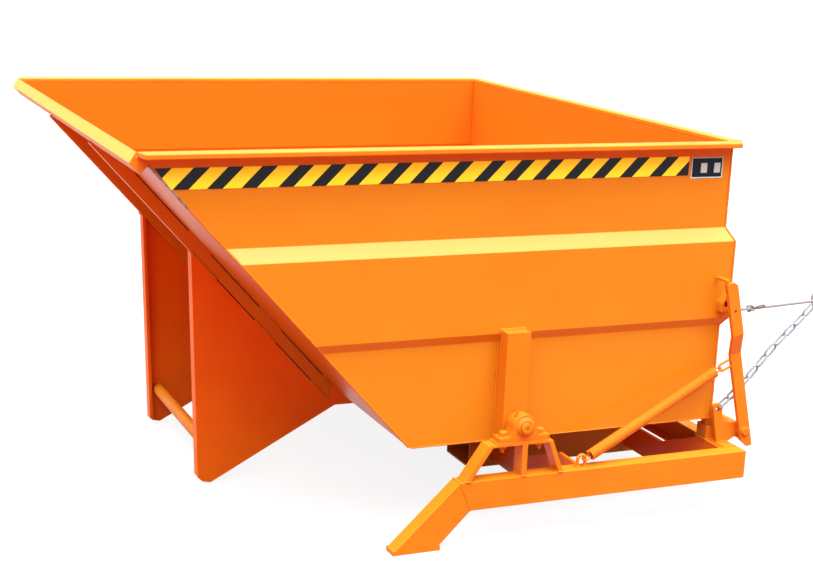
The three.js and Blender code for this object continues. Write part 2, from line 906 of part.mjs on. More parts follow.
function springEnds(sign) {
  const front = new THREE.Vector3(eyeReach + eyeBend, sign * eyeSide, railTop + eyeLeg);
  const root = leverEyeRoot();
  const aim = springAim.clone().sub(root).normalize().multiplyScalar(leverEyeLength - leverEyeRod);
  const across = sign * (leverLowerOuter - leverThickness / 2);
  const rear = new THREE.Vector3(root.x + aim.x, across, root.y + aim.y);
  return { front, rear };
}

function returnSpring(sign) {
  const { front, rear } = springEnds(sign);
  const line = rear.clone().sub(front);
  const direction = line.clone().normalize();
  const frontGap = eyeRod + springWire * Math.abs(direction.z) + seam;
  const rearGap = leverEyeRod + springWire * Math.abs(direction.y) + seam;
  const length = line.length() - frontGap - rearGap;
  const coil = new Coil(length, springLead, springRadius, springCurls);
  const steps = springCurls * curlSteps;
  const spring = tube(coil, springWire, curlSides, steps);
  console.log(`least gap of the ${sign < 0 ? "left" : "right"} spring to itself`, leastGap(coil, steps, springWire));
  const turn = new THREE.Quaternion().setFromUnitVectors(new THREE.Vector3(0, 0, 1), direction);
  return spring.applyQuaternion(turn).translate(...front.addScaledVector(direction, frontGap).toArray());
}

// Tapes and label on the box sides
function warningTape(sign) {
  const face = sign * (upperHalfWidth + seam);
  const front = Math.max(-tapeFront, slopeAt(tapeBottom) + seam);
  const outline = [
    [front, tapeBottom],
    [tapeRear, tapeBottom],
    [tapeRear, tapeTop],
    [Math.max(-tapeFront, slopeAt(tapeTop) + seam), tapeTop],
  ];
  return alongY(outline, face, face + sign * tapeThickness);
}

function blankLabel() {
  const face = -upperHalfWidth - seam;
  return block(tapeRear + labelGap, labelRear, face, face - tapeThickness, labelBottom, labelTop);
}

// Rope and chain
function route(start, points) {
  return new THREE.CatmullRomCurve3([start, ...points.map((point) => new THREE.Vector3(...point))]);
}

function releaseRope() {
  const lean = new THREE.Vector2(-Math.sin(leverLean), Math.cos(leverLean));
  const across = new THREE.Vector2(Math.cos(leverLean), Math.sin(leverLean));
  const start = new THREE.Vector2(latchReach, latchHeight)
    .addScaledVector(lean, ropeHeight)
    .addScaledVector(across, leverWidth / 2 + ropeRadius * Math.sin(leverLean) + seam);
  const middle = leverUpperOuter - leverThickness / 2;
  const curve = route(new THREE.Vector3(start.x, -middle, start.y), ropePoints);
  const stretch = tube(curve, ropeRadius, ropeSides, arcSteps);
  const [x, y, z] = ropePoints.at(-1);
  const loop = new THREE.TorusGeometry(ropeLoop, ropeRadius, ropeSides, arcSteps * 2).rotateX(Math.PI / 2);
  return join(stretch, loop.translate(x + ropeLoop, y, z));
}

function safetyChain() {
  const ear = new THREE.Vector3(earReach, -carrierOuter + carrierThickness / 2, earHeight);
  const aim = new THREE.Vector3(...chainPoints[0]).sub(ear).normalize();
  const curve = route(ear.addScaledVector(aim, earRadius + 2 * seam), chainPoints);
  const stretch = tube(curve, chainRadius, chainSides, arcSteps * 2);
  const [x, y, z] = chainPoints.at(-1);
  const ring = new THREE.TorusGeometry(chainRing, chainRadius, chainSides, arcSteps * 2).rotateX(Math.PI / 2);
  return join(stretch, ring.translate(x + chainRing * Math.SQRT1_2, y, z + chainRing * Math.SQRT1_2));
}

// The scene graph: a still base, the tipping box and the latch
const hopper = new THREE.Group();
const base = new THREE.Group();
const box = new THREE.Group();
const latch = new THREE.Group();
hopper.add(base, box, latch);

function piece(parent, name, geometry, finish) {
  const mesh = new THREE.Mesh(geometry, new THREE.MeshStandardMaterial(finishes[finish]));
  mesh.name = name;
  parent.add(mesh);
  return mesh;
}

piece(base, "rear_cross_member", rearMember(), "paint");
piece(box, "floor_plate", floorPlate(), "paint");
piece(box, "slope_plate", slopePlate(), "weldedPaint");
piece(box, "rear_wall", rearWall(), "paint");
piece(box, "rim_rear", rearRim(), "paint");
piece(box, "lip_bar", lipBar(), "paint");
piece(box, "leg_cross_tube", legTube(), "paint");
piece(box, "label_plate", blankLabel(), "label");
piece(latch, "latch_shaft", latchShaft(), "paint");

for (const [side, sign] of [["left", -1], ["right", 1]]) {
  piece(base, `base_rail_${side}`, baseRail(sign), "paint");
  piece(base, `front_skid_${side}`, frontSkid(sign), "paint");
  piece(base, `fork_pocket_${side}`, forkPocket(sign), "paint");
  piece(base, `front_cross_plate_${side}`, crankedPlate(sign, frontCrank), "weldedPaint");
  piece(base, `rear_cross_plate_${side}`, crankedPlate(sign, rearCrank), "weldedPaint");
  piece(base, `pivot_bracket_${side}`, pivotBracket(sign), "paint");
  piece(base, `bearing_slab_${side}`, bearingSlab(sign), "paint");
  piece(base, `bearing_housing_${side}`, bearingHousing(sign), "paint");
  piece(base, `bearing_insert_${side}`, bearingInsert(sign), "paint");
  piece(base, `bearing_bolt_${side}_front`, bearingBolt(sign, blockBolts[0]), "paint");
  piece(base, `bearing_bolt_${side}_rear`, bearingBolt(sign, blockBolts[1]), "paint");
  piece(base, `spring_eye_${side}`, springEye(sign), "paint");
  piece(base, `rear_rest_${side}`, rearRest(sign), "paint");
  piece(base, `shaft_carrier_${side}`, shaftCarrier(sign), "paint");
  piece(base, `return_spring_${side}`, returnSpring(sign), "paint");
  piece(box, `side_wall_${side}`, sideWall(sign), "paint");
  piece(box, `rim_rail_${side}`, sideRim(sign), "paint");
  piece(box, `slope_rib_${side}`, slopeRib(sign), "weldedPaint");
  piece(box, `leg_plate_${side}`, legPlateOf(sign), "weldedPaint");
  piece(box, `trunnion_post_${side}`, trunnionPost(sign), "paint");
  piece(box, `trunnion_shaft_${side}`, trunnionShaft(sign), "paint");
  piece(box, `catch_lug_${side}`, catchLug(sign), "paint");
  piece(box, `warning_tape_${side}`, warningTape(sign), "tape");
  const swing = new THREE.Group();
  swing.position.set(latchReach, 0, latchHeight);
  swing.rotation.y = -leverLean;
  latch.add(swing);
  piece(swing, `latch_lever_${side}`, lever(sign), "paint");
}

// The origin is under the middle of the hopper, measured without its cords
hopper.updateMatrixWorld(true);
const extent = new THREE.Box3().setFromObject(hopper);
hopper.position.x = -(extent.min.x + extent.max.x) / 2;

piece(latch, "release_rope", releaseRope(), "rope");
piece(base, "safety_chain", safetyChain(), "zinc");

export default hopper;
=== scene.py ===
import math

import bpy
from mathutils import Matrix, Vector, noise


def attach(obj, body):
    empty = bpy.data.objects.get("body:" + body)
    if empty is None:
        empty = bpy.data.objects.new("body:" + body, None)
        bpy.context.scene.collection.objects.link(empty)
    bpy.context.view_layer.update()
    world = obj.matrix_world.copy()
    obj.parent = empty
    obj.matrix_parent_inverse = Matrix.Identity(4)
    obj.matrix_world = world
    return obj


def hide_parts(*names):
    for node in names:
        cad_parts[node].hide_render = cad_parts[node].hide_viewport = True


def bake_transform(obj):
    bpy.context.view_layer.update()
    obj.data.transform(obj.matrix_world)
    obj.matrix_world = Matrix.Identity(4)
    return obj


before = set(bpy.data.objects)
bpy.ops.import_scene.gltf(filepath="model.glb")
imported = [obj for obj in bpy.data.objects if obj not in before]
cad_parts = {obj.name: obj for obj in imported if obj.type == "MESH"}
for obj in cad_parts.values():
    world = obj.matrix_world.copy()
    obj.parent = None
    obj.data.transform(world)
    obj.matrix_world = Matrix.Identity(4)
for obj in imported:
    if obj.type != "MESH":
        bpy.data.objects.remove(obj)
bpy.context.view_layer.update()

SIDES = (("left", -1), ("right", 1))
MM = 0.001
ALONG_X, ALONG_Y, ALONG_Z = Vector((1, 0, 0)), Vector((0, 1, 0)), Vector((0, 0, 1))

# Places in millimetres: back from the box's front bottom corner, across, and up from the ground
ORIGIN_SHIFT = -152.26528930664062
WALL_TOP = 982.5
BOX_BOTTOM = 235
SLOPE_REACH = 681.3
SLOPE_RISE = WALL_TOP - BOX_BOTTOM
SLOPE_LENGTH = math.hypot(SLOPE_REACH, SLOPE_RISE)
SLOPE_COS = SLOPE_REACH / SLOPE_LENGTH
SLOPE_SIN = SLOPE_RISE / SLOPE_LENGTH
SIDE_PROFILE = ((785, 978), (785, 765), (807, 730), (807, 521), (795, 498.5), (795, 238))
REAR_PROFILE = ((899, 978), (899, 765), (919, 730), (919, 521), (900, 498.5), (900, 238))
INNER_SIDE = 783
INNER_REAR = 897
PIVOT = (267, 300)
SHAFT_RADIUS = 15
SHAFT_ENDS = (803, 916)
BLOCK_MIDDLE = 884
BLOCK_TOP = 276.5
BLOCK_OUTER = 903
BOLT_REACHES = (214.5, 319.5)
BRACKET_UNDERSIDE = 254.5
RAIL_TOP = 171
RAIL_BOTTOM = 95
RAIL_INNER = 860
RAIL_OUTER = 905
RAIL_FRONT = 93
MITRE_RUN = 31.5
LATCH = (986, 201)
LEVER_FACES = (826, 838)
STAPLE_REACH = 447.5
STAPLE_SIDE = 882
LEG_OUTER = 283
LEG_INNER = 273
LEG_TUBE = (-372, 106)
RIB_DEPTH = 35
LABEL_FACE = -785.3


def at(reach, across, height):
    """A place in metres in the shared frame, from millimetres on the hopper."""
    return Vector(((reach + ORIGIN_SHIFT) * MM, across * MM, height * MM))


def on_pivot(across):
    """A place on the line that the box turns about."""
    return at(PIVOT[0], across, PIVOT[1])


def on_latch(across):
    """A place on the line that the levers turn about."""
    return at(LATCH[0], across, LATCH[1])


def on_slope(along, across, out):
    """A place under the slope: up it from its foot, and out from its face."""
    reach = -along * SLOPE_COS - out * SLOPE_SIN
    return at(reach, across, BOX_BOTTOM + along * SLOPE_SIN - out * SLOPE_COS)


# Camera, fitted to the photograph's edges
CAMERA_PLACE = at(-1489.4, -4103.8, 1501.2)
CAMERA_YAW, CAMERA_PITCH, CAMERA_ROLL = (math.radians(turn) for turn in (23.834, 13.141, -2.467))
CAMERA_LENS = 67.456
CAMERA_SENSOR = 36
CAMERA_SEES_TO = 100


def make_camera():
    data = bpy.data.cameras.new("camera")
    data.lens = CAMERA_LENS
    data.sensor_width = CAMERA_SENSOR
    data.clip_end = CAMERA_SEES_TO
    camera = bpy.data.objects.new("camera", data)
    bpy.context.scene.collection.objects.link(camera)
    level = math.cos(CAMERA_PITCH)
    ahead = Vector((math.sin(CAMERA_YAW) * level, math.cos(CAMERA_YAW) * level, -math.sin(CAMERA_PITCH)))
    flat_right = Vector((math.cos(CAMERA_YAW), -math.sin(CAMERA_YAW), 0))
    flat_down = ahead.cross(flat_right)
    right = math.cos(CAMERA_ROLL) * flat_right + math.sin(CAMERA_ROLL) * flat_down
    down = -math.sin(CAMERA_ROLL) * flat_right + math.cos(CAMERA_ROLL) * flat_down
    turn = Matrix((right, -down, -ahead)).transposed().to_4x4()
    camera.matrix_world = Matrix.Translation(CAMERA_PLACE) @ turn
    bpy.context.scene.camera = camera


make_camera()


# Ways of working
ROUND_ANGLE = math.radians(28)
MERGE_REACH = 0.02
FLAT_ANGLE = math.radians(0.6)
HEXAGON = 6
TURNED = 48


def alone(piece):
    bpy.ops.object.select_all(action="DESELECT")
    piece.select_set(True)
    bpy.context.view_layer.objects.active = piece
    return piece


def settled(name):
    """The primitive just added, named, with its place in its mesh."""
    piece = bpy.context.active_object
    piece.name = name
    bpy.ops.object.transform_apply(location=True, rotation=True, scale=True)
    return piece


def bar(name, low, high):
    bpy.ops.object.select_all(action="DESELECT")
    bpy.ops.mesh.primitive_cube_add(size=1, location=(low + high) / 2, scale=high - low)
    return settled(name)


def rod(name, start, end, radius, sides=40):
    bpy.ops.object.select_all(action="DESELECT")
    line = end - start
    turn = line.to_track_quat("Z", "Y").to_euler()
    bpy.ops.mesh.primitive_cylinder_add(
        vertices=sides, radius=radius * MM, depth=line.length, location=(start + end) / 2, rotation=turn
    )
    return settled(name)


def rounded(piece, width, segments=2, angle=ROUND_ANGLE):
    """Breaks the sharp edges by so many millimetres, and shades the curved faces smooth."""
    alone(piece)
    edge = piece.modifiers.new("broken edges", "BEVEL")
    edge.width = width * MM
    edge.segments = segments
    edge.limit_method = "ANGLE"
    edge.angle_limit = angle
    bpy.ops.object.modifier_apply(modifier=edge.name)
    bpy.ops.object.shade_smooth_by_angle(angle=angle)
    return piece


def joined(name, pieces):
    bpy.ops.object.select_all(action="DESELECT")
    for piece in pieces:
        piece.select_set(True)
    bpy.context.view_layer.objects.active = pieces[0]
    if len(pieces) > 1:
        bpy.ops.object.join()
    pieces[0].name = name
    return pieces[0]


def drilled(piece, tool):
    alone(piece)
    hole = piece.modifiers.new("hole", "BOOLEAN")
    hole.operation = "DIFFERENCE"
    hole.solver = "EXACT"
    hole.object = tool
    bpy.ops.object.modifier_apply(modifier=hole.name)
    bpy.data.objects.remove(tool)
    return piece


def bent_wire(name, points, radius, closed=False, swell=None, fineness=2):
    """A round wire or bead that follows points, as a closed mesh."""
    curve = bpy.data.curves.new(name, "CURVE")
    curve.dimensions = "3D"
    curve.bevel_depth = radius * MM
    curve.bevel_resolution = fineness
    curve.use_fill_caps = True
    spline = curve.splines.new("POLY")
    spline.points.add(len(points) - 1)
    for place, point in enumerate(points):
        spline.points[place].co = (*point, 1)
        spline.points[place].radius = swell[place] if swell else 1
    spline.use_cyclic_u = closed
    piece = bpy.data.objects.new(name, curve)
    bpy.context.scene.collection.objects.link(piece)
    alone(piece)
    bpy.ops.object.convert(target="MESH")
    bpy.ops.object.shade_smooth()
    return bpy.context.active_object


def circle(centre, first, second, radius, count=24):
    turns = [math.tau * place / count for place in range(count)]
    return [centre + radius * MM * (first * math.cos(turn) + second * math.sin(turn)) for turn in turns]


def dress(piece, body, finish, stands_for=()):
    """Gives a finished piece its material and its body, and hides the nodes it stands for."""
    piece.data.materials.clear()
    piece.data.materials.append(finish)
    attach(piece, body)
    if stands_for:
        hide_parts(*stands_for)
    return piece


# Materials
def linear(code):
    """An sRGB hex colour as linear red, green, blue and alpha."""
    shares = [int(code[place:place + 2], 16) / 255 for place in (0, 2, 4)]
    bent = [share / 12.92 if share <= 0.04045 else ((share + 0.055) / 1.055) ** 2.4 for share in shares]
    return [*bent, 1]


def add(tree, kind, values=None, links=None, **settings):
    """One node with its settings, the values of its sockets and its links."""
    node = tree.nodes.new(kind)
    for name, setting in settings.items():
        setattr(node, name, setting)
    for name, value in (values or {}).items():
        node.inputs[name].default_value = value
    for name, source in (links or {}).items():
        tree.links.new(source, node.inputs[name])
    return node


def blank(name, sockets):
    """A material with the shader's plain values set: its tree, its shader and object coordinates."""
    material = bpy.data.materials.new(name)
    material.use_nodes = True
    tree = material.node_tree
    shader = tree.nodes["Principled BSDF"]
    for socket, value in sockets.items():
        shader.inputs[socket].default_value = value
    places = tree.nodes.new("ShaderNodeTexCoord").outputs["Object"]
    return material, tree, shader, places


def per_metre(millimetres):
    """A texture scale at which one feature is about that many millimetres."""
    return 1000 / millimetres


# Where the enamel's painted shade inside the box goes
def inside_of_box(tree, places):
    """One on the box's inner faces, and nought on its outer ones."""
    apart = add(tree, "ShaderNodeSeparateXYZ", None, {"Vector": places})
    across = add(tree, "ShaderNodeMath", None, {0: apart.outputs["Y"]}, operation="ABSOLUTE")
    within = add(
        tree, "ShaderNodeMath", {1: INNER_SIDE * MM}, {0: across.outputs[0]}, operation="LESS_THAN"
    )
    ahead = add(
        tree, "ShaderNodeMath", {1: at(INNER_REAR, 0, 0).x}, {0: apart.outputs["X"]}, operation="LESS_THAN"
    )
    both = add(
        tree, "ShaderNodeMath", None, {0: within.outputs[0], 1: ahead.outputs[0]}, operation="MULTIPLY"
    )
    return both.outputs[0]


# Where the enamel's painted highlight on upward faces goes
def upward_faces(tree):
    """One on faces that look up, nought on upright ones, and a share between."""
    normal = add(tree, "ShaderNodeTexCoord").outputs["Normal"]
    facing = add(tree, "ShaderNodeSeparateXYZ", None, {"Vector": normal})
    upward = add(
        tree, "ShaderNodeMapRange", {"From Min": 0.2, "From Max": 0.5}, {"Value": facing.outputs["Z"]}
    )
    return upward.outputs["Result"]


# Sizes in the enamel: clouds where the coat is thin, slow waves in the sheet, and orange peel
CLOUD_SIZE = 260
WAVE_SIZE = 170
WAVE_DEPTH = 4
PEEL_SIZE = 7
PEEL_DEPTH = 0.6
GLOSS_SPREAD = (-0.05, 0.09)


def enamel(name, colour, deep, rough, peel, inner=None, painted_highlight=None):
    """Air-dried orange enamel, sprayed: a wet gloss with orange peel, deeper where it is thin.

    Inside the box it takes a darker, redder tone, which is painted shade, and upward faces take a paler
    tone, which is a painted highlight.
    """
    material, tree, shader, places = blank(name, {"Specular IOR Level": 0.25})
    cloud = add(
        tree, "ShaderNodeTexNoise", {"Scale": per_metre(CLOUD_SIZE), "Detail": 4, "Roughness": 0.6},
        {"Vector": places},
    )
    fleck = add(
        tree, "ShaderNodeTexNoise", {"Scale": per_metre(PEEL_SIZE), "Detail": 2}, {"Vector": places}
    )
    wave = add(
        tree, "ShaderNodeTexNoise", {"Scale": per_metre(WAVE_SIZE), "Detail": 1}, {"Vector": places}
    )
    share = add(
        tree, "ShaderNodeMapRange", {"From Min": 0.35, "From Max": 0.75}, {"Value": cloud.outputs["Fac"]}
    )
    tone = add(
        tree, "ShaderNodeMix", {"A": linear(colour), "B": linear(deep)},
        {"Factor": share.outputs["Result"]}, data_type="RGBA",
    )
    # Coats over the tone: the paler one on upward faces is a painted highlight, and the inner one is painted
    # shade inside the box
    over = []
    if painted_highlight:
        over.append((painted_highlight, upward_faces(tree)))
    if inner:
        over.append((inner, inside_of_box(tree, places)))
    for coat, where in over:
        tone = add(
            tree, "ShaderNodeMix", {"B": linear(coat)}, {"Factor": where, "A": tone.outputs["Result"]},
            data_type="RGBA",
        )
    tree.links.new(tone.outputs["Result"], shader.inputs["Base Color"])
    least, most = GLOSS_SPREAD
    gloss = add(
        tree, "ShaderNodeMapRange", {"To Min": rough + least, "To Max": rough + most},
        {"Value": cloud.outputs["Fac"]},
    )
    tree.links.new(gloss.outputs["Result"], shader.inputs["Roughness"])
    swell = add(
        tree, "ShaderNodeBump", {"Strength": 0.35, "Distance": WAVE_DEPTH * MM},
        {"Height": wave.outputs["Fac"]},
    )
    skin = add(
        tree, "ShaderNodeBump", {"Strength": peel, "Distance": PEEL_DEPTH * MM},
        {"Height": fleck.outputs["Fac"], "Normal": swell.outputs["Normal"]},
    )
    tree.links.new(skin.outputs["Normal"], shader.inputs["Normal"])
    return material


# On the sheets, d47617 is painted shade inside the box, and eeb65a is a painted highlight on upward faces
SHEET_ENAMEL = enamel("orange_enamel_on_sheet", "da8a1a", "d68417", 0.36, 0.25, "d47617", "eeb65a")
BAR_ENAMEL = enamel("orange_enamel_on_bar", "e2881b", "da7d15", 0.42, 0.4)
# On the lip, eaa642 is a painted highlight on its upward face
LIP_ENAMEL = enamel("orange_enamel_on_lip", "e2881b", "da7d15", 0.42, 0.4, painted_highlight="eaa642")
# The plates under the box take a redder orange than the other enamel: painted shade
PLATE_ENAMEL_PAINTED_SHADE = enamel("orange_enamel_on_plate_painted_shade", "fa7a0c", "f27008", 0.45, 0.4)
WELD_ENAMEL = enamel("orange_enamel_on_weld", "e48c24", "d47412", 0.5, 0.8)
CAST_ENAMEL = enamel("orange_enamel_on_casting", "e2861e", "d67510", 0.5, 1.0)


def mottled(name, tones, grain, detail, sockets, split=None, relief=None, gloss=None):
    """A material of two tones in grains of so many millimetres.

    split is the range of the grains over which one tone turns to the other. relief is how strongly
    and how many millimetres deep the grains stand, and gloss the roughness at their low and high.
    """
    material, tree, shader, places = blank(name, sockets)
    grains = add(
        tree, "ShaderNodeTexNoise", {"Scale": per_metre(grain), "Detail": detail}, {"Vector": places}
    ).outputs["Fac"]
    share = grains
    if split:
        low, high = split
        mapped = add(tree, "ShaderNodeMapRange", {"From Min": low, "From Max": high}, {"Value": grains})
        share = mapped.outputs["Result"]
    first, second = tones
    tone = add(
        tree, "ShaderNodeMix", {"A": linear(first), "B": linear(second)}, {"Factor": share},
        data_type="RGBA",
    )
    tree.links.new(tone.outputs["Result"], shader.inputs["Base Color"])
    if relief:
        strength, depth = relief
        lift = add(
            tree, "ShaderNodeBump", {"Strength": strength, "Distance": depth * MM}, {"Height": grains}
        )
        tree.links.new(lift.outputs["Normal"], shader.inputs["Normal"])
    if gloss:
        low, high = gloss
        shine = add(tree, "ShaderNodeMapRange", {"To Min": low, "To Max": high}, {"Value": grains})
        tree.links.new(shine.outputs["Result"], shader.inputs["Roughness"])
    return material


# Painted shadow and dust in an open joint between stitch welds: dark, brown and matt
SEAM_DIRT_AND_PAINTED_SHADOW = mottled(
    "dust_and_painted_shadow_in_open_joint", ("3a1206", "5c1e0a"), 3, 3, {"Roughness": 0.9}, relief=(0.5, 0.5)
)
# Steel where the enamel has been knocked off: grey, patchy, with brown in the hollows
SCUFFED = mottled(
    "scuffed_bare_steel", ("a59a92", "7a5a48"), 12, 5, {"Roughness": 0.6, "Metallic": 0.3},
    split=(0.42, 0.62), relief=(0.5, 0.6),
)
# Thin printed vinyl film for the label: an even tone, a little rubbed
FILM_SOCKETS = {"Roughness": 0.6, "Specular IOR Level": 0.2}
DARK_FILM = mottled("dark_label_film", ("06121c", "0c1c28"), 9, 4, FILM_SOCKETS, relief=(0.15, 0.3))
PALE_FILM = mottled("pale_label_film", ("c8faff", "b8eaf4"), 9, 4, FILM_SOCKETS, relief=(0.15, 0.3))
# White laid polyamide rope: matt, with fine fibres lying along each strand
ROPE = mottled(
    "white_rope_fibre", ("a8b0b4", "868e92"), 1.5, 3, {"Roughness": 0.85}, relief=(0.6, 0.5)
)
# Galvanised steel wire: pale, soft reflections that are cloudy from the zinc bath
ZINC = mottled("bright_zinc_on_steel", ("a9b6c0", "808c96"), 6, 3, {"Metallic": 0.25}, gloss=(0.25, 0.5))

# The tape's print: one repeat and where the first starts, then its bars in shares of a repeat
TAPE_REPEAT = 251.5
TAPE_START = -1419.3
TAPE_BARS = (0.0755, 0.3955, 0.7215)
TAPE_HALF_BAR = 0.0755
TAPE_SCUFF_SIZE = 20


def striped_tape():
    """Printed vinyl tape: yellow with leaning black bars, uneven where it is stuck down, glowing faintly in
    its print as painted light.
    """
    # The emission is painted light: the yellow glows so that it stays bright in the rim's shade
    material, tree, shader, places = blank(
        "striped_vinyl_tape_painted_glow", {"Emission Strength": 0.18, "Roughness": 0.5, "Specular IOR Level": 0.25}
    )
    apart = add(tree, "ShaderNodeSeparateXYZ", None, {"Vector": places})
    lean = add(
        tree, "ShaderNodeMath", None, {0: apart.outputs["X"], 1: apart.outputs["Z"]}, operation="SUBTRACT"
    )
    turns = add(
        tree, "ShaderNodeMath", {1: 1 / (TAPE_REPEAT * MM), 2: -TAPE_START / TAPE_REPEAT},
        {0: lean.outputs[0]}, operation="MULTIPLY_ADD",
    )
    part = add(tree, "ShaderNodeMath", None, {0: turns.outputs[0]}, operation="FRACT")
    bars = [
        add(tree, "ShaderNodeMath", {1: middle, 2: TAPE_HALF_BAR}, {0: part.outputs[0]}, operation="COMPARE")
        for middle in TAPE_BARS
    ]
    dark = bars[0]
    for stripe in bars[1:]:
        dark = add(
            tree, "ShaderNodeMath", None, {0: dark.outputs[0], 1: stripe.outputs[0]}, operation="MAXIMUM"
        )
    scuff = add(
        tree, "ShaderNodeTexNoise", {"Scale": per_metre(TAPE_SCUFF_SIZE), "Detail": 5}, {"Vector": places}
    )
    faded = add(
        tree, "ShaderNodeMix", {"A": linear("fffb40"), "B": linear("fff436")},
        {"Factor": scuff.outputs["Fac"]}, data_type="RGBA",
    )
    print_tone = add(
        tree, "ShaderNodeMix", {"B": linear("0a0e14")},
        {"Factor": dark.outputs[0], "A": faded.outputs["Result"]}, data_type="RGBA",
    )
    tree.links.new(print_tone.outputs["Result"], shader.inputs["Base Color"])
    # The print tone also drives the painted glow
    tree.links.new(print_tone.outputs["Result"], shader.inputs["Emission Color"])
    lift = add(
        tree, "ShaderNodeBump", {"Strength": 0.2, "Distance": 0.5 * MM}, {"Height": scuff.outputs["Fac"]}
    )
    tree.links.new(lift.outputs["Normal"], shader.inputs["Normal"])
    return material


TAPE = striped_tape()


# Release rope, held taut, with a knot by the lever and a hand loop beyond the view
ROPE_START = (918.7, -856, 554)
ROPE_POINTS = ((1010, -856, 557), (1100, -856, 561), (1185, -856, 565))
ROPE_STEPS = 24
STRAND_RADIUS = 2.15
STRAND_OFFSET = 1.95
ROPE_LAY = 24
LAY_STEPS = 12
ROPE_LOOP = 26
LOOP_STEPS = 40
KNOT_PLACE = (952, -856, 556)
KNOT_SIZE = 4
KNOT_STEPS = 64
KNOT_ROPE = 3.4
KNOT_THICKNESS = 0.9
KNOT_HEIGHT = 0.72
TAIL_POINTS = ((8, -4, 2), (20, -7, 7), (34, -6, 9), (42, -4, 5))
TAIL_STEPS = 16
TAIL_ROPE = 3.2
TAIL_TAPER = 0.25


def through(points, count):
    """A smooth route of count steps through the points."""
    ends = [2 * points[0] - points[1], *points, 2 * points[-1] - points[-2]]
    route = []
    for place in range(count + 1):
        turn = min(place * (len(points) - 1) / count, len(points) - 1 - 1e-9)
        leg = int(turn)
        share = turn - leg
        a, b, c, d = ends[leg:leg + 4]
        pull = 2 * a - 5 * b + 4 * c - d
        twist = 3 * b - a - 3 * c + d
        route.append((2 * b + (c - a) * share + pull * share**2 + twist * share**3) / 2)
    return route


def length_of(route):
    return sum((end - start).length for start, end in zip(route, route[1:]))


def square_to(direction):
    side = direction.cross(ALONG_Z).normalized()
    return side, direction.cross(side).normalized()


def strands(name, route):
    """Three strands laid round a route, evenly."""
    turns = length_of(route) / (ROPE_LAY * MM)
    fine = through(route, max(2, round(turns * LAY_STEPS)))
    made = []
    for strand in range(3):
        points = []
        for place, point in enumerate(fine):
            ahead = fine[min(place + 1, len(fine) - 1)] - fine[max(place - 1, 0)]
            side, up = square_to(ahead.normalized())
            angle = math.tau * (place / LAY_STEPS + strand / 3)
            points.append(point + STRAND_OFFSET * MM * (side * math.cos(angle) + up * math.sin(angle)))
        made.append(bent_wire(f"{name}_{strand}", points, STRAND_RADIUS))
    return joined(name, made)


def rope_knot(name, centre):
    """An overhand knot pulled tight, with its short tail."""
    points = []
    for place in range(KNOT_STEPS):
        angle = math.tau * place / KNOT_STEPS
        arm = 2 + math.cos(3 * angle)
        ahead = arm * math.cos(2 * angle)
        across = KNOT_THICKNESS * math.sin(3 * angle)
        rise = arm * KNOT_HEIGHT * math.sin(2 * angle)
        points.append(centre + KNOT_SIZE * MM * Vector((ahead, across, rise)))
    tangle = bent_wire(f"{name}_tangle", points, KNOT_ROPE, closed=True, fineness=3)
    tail_points = through([centre + Vector(step) * MM for step in TAIL_POINTS], TAIL_STEPS)
    swell = [1 - TAIL_TAPER * place / TAIL_STEPS for place in range(TAIL_STEPS + 1)]
    tail = bent_wire(f"{name}_tail", tail_points, TAIL_ROPE, swell=swell, fineness=3)
    return joined(name, [tangle, tail])


def make_rope():
    route = through([at(*ROPE_START), *(at(*point) for point in ROPE_POINTS)], ROPE_STEPS)
    rope = strands("rope_to_driver", route)
    dress(rope, "latch", ROPE, ("release_rope",))
    reach, across, height = ROPE_POINTS[-1]
    ring = circle(at(reach + ROPE_LOOP, across, height), -ALONG_X, ALONG_Z, ROPE_LOOP, LOOP_STEPS)
    loop = strands("rope_hand_loop", [*ring, ring[0]])
    dress(loop, "latch", ROPE)
    knot = rope_knot("rope_knot", at(*KNOT_PLACE))
    dress(knot, "latch", ROPE)


make_rope()

# Safety chain from the ear of the left carrier
EAR = (905, -812, 266)
CHAIN_POINTS = ((975, -812, 324), (1075, -808, 426), (1150, -804, 490), (1215, -800, 548))
CHAIN_STEPS = 120
LINK_WIRE = 3.3
LINK_PITCH = 40
LINK_WIDTH = 23
LINK_STEPS = 8
FIRST_LINK_WIDTH = 25
CHAIN_RING = 24
RING_WIRE = 4


def link(name, centre, ahead, across, width):
    """One long welded link: two straight sides joined by half circles."""
    bend = (width / 2 - LINK_WIRE) * MM
    straight = LINK_PITCH / 2 * MM - bend
    points = []
    for end in (1, -1):
        for place in range(LINK_STEPS + 1):
            angle = math.pi * (place / LINK_STEPS - 0.5)
            along = straight + bend * math.cos(angle)
            points.append(centre + end * (ahead * along + across * bend * math.sin(angle)))
    return bent_wire(name, points, LINK_WIRE, closed=True, fineness=1)


def make_chain():
    route = through([at(*EAR), *(at(*point) for point in CHAIN_POINTS)], CHAIN_STEPS)
    reach = (LINK_PITCH / 2 + LINK_WIRE) * MM
    links = []
    travelled = 0.0
    path = [route[0]]
    for start, end in zip(route, route[1:]):
        step = (end - start).length
        wanted = reach + len(links) * LINK_PITCH * MM
        if wanted <= travelled + step and wanted + reach < length_of(route):
            ahead = (end - start).normalized()
            side, up = square_to(ahead)
            width = LINK_WIDTH if links else FIRST_LINK_WIDTH
            centre = start.lerp(end, (wanted - travelled) / step)
            across = up if len(links) % 2 else side
            links.append(link(f"link_{len(links)}", centre, ahead, across, width))
        travelled += step
    ends = 2 * reach + (len(links) - 1) * LINK_PITCH * MM
    for end in route[1:]:
        if length_of(path) + (end - path[-1]).length <= ends:
            path.append(end)
    chain = joined("chain_links", links)
    dress(chain, "base", ZINC, ("safety_chain",))
    past = CHAIN_RING * MM * math.sqrt(0.5)
    centre = path[-1] + Vector((past, 0, past))
    round_ring = circle(centre, ALONG_X, ALONG_Z, CHAIN_RING, LOOP_STEPS)
    ring = bent_wire("chain_end_ring", round_ring, RING_WIRE, closed=True, fineness=3)
    dress(ring, "base", ZINC)


make_chain()


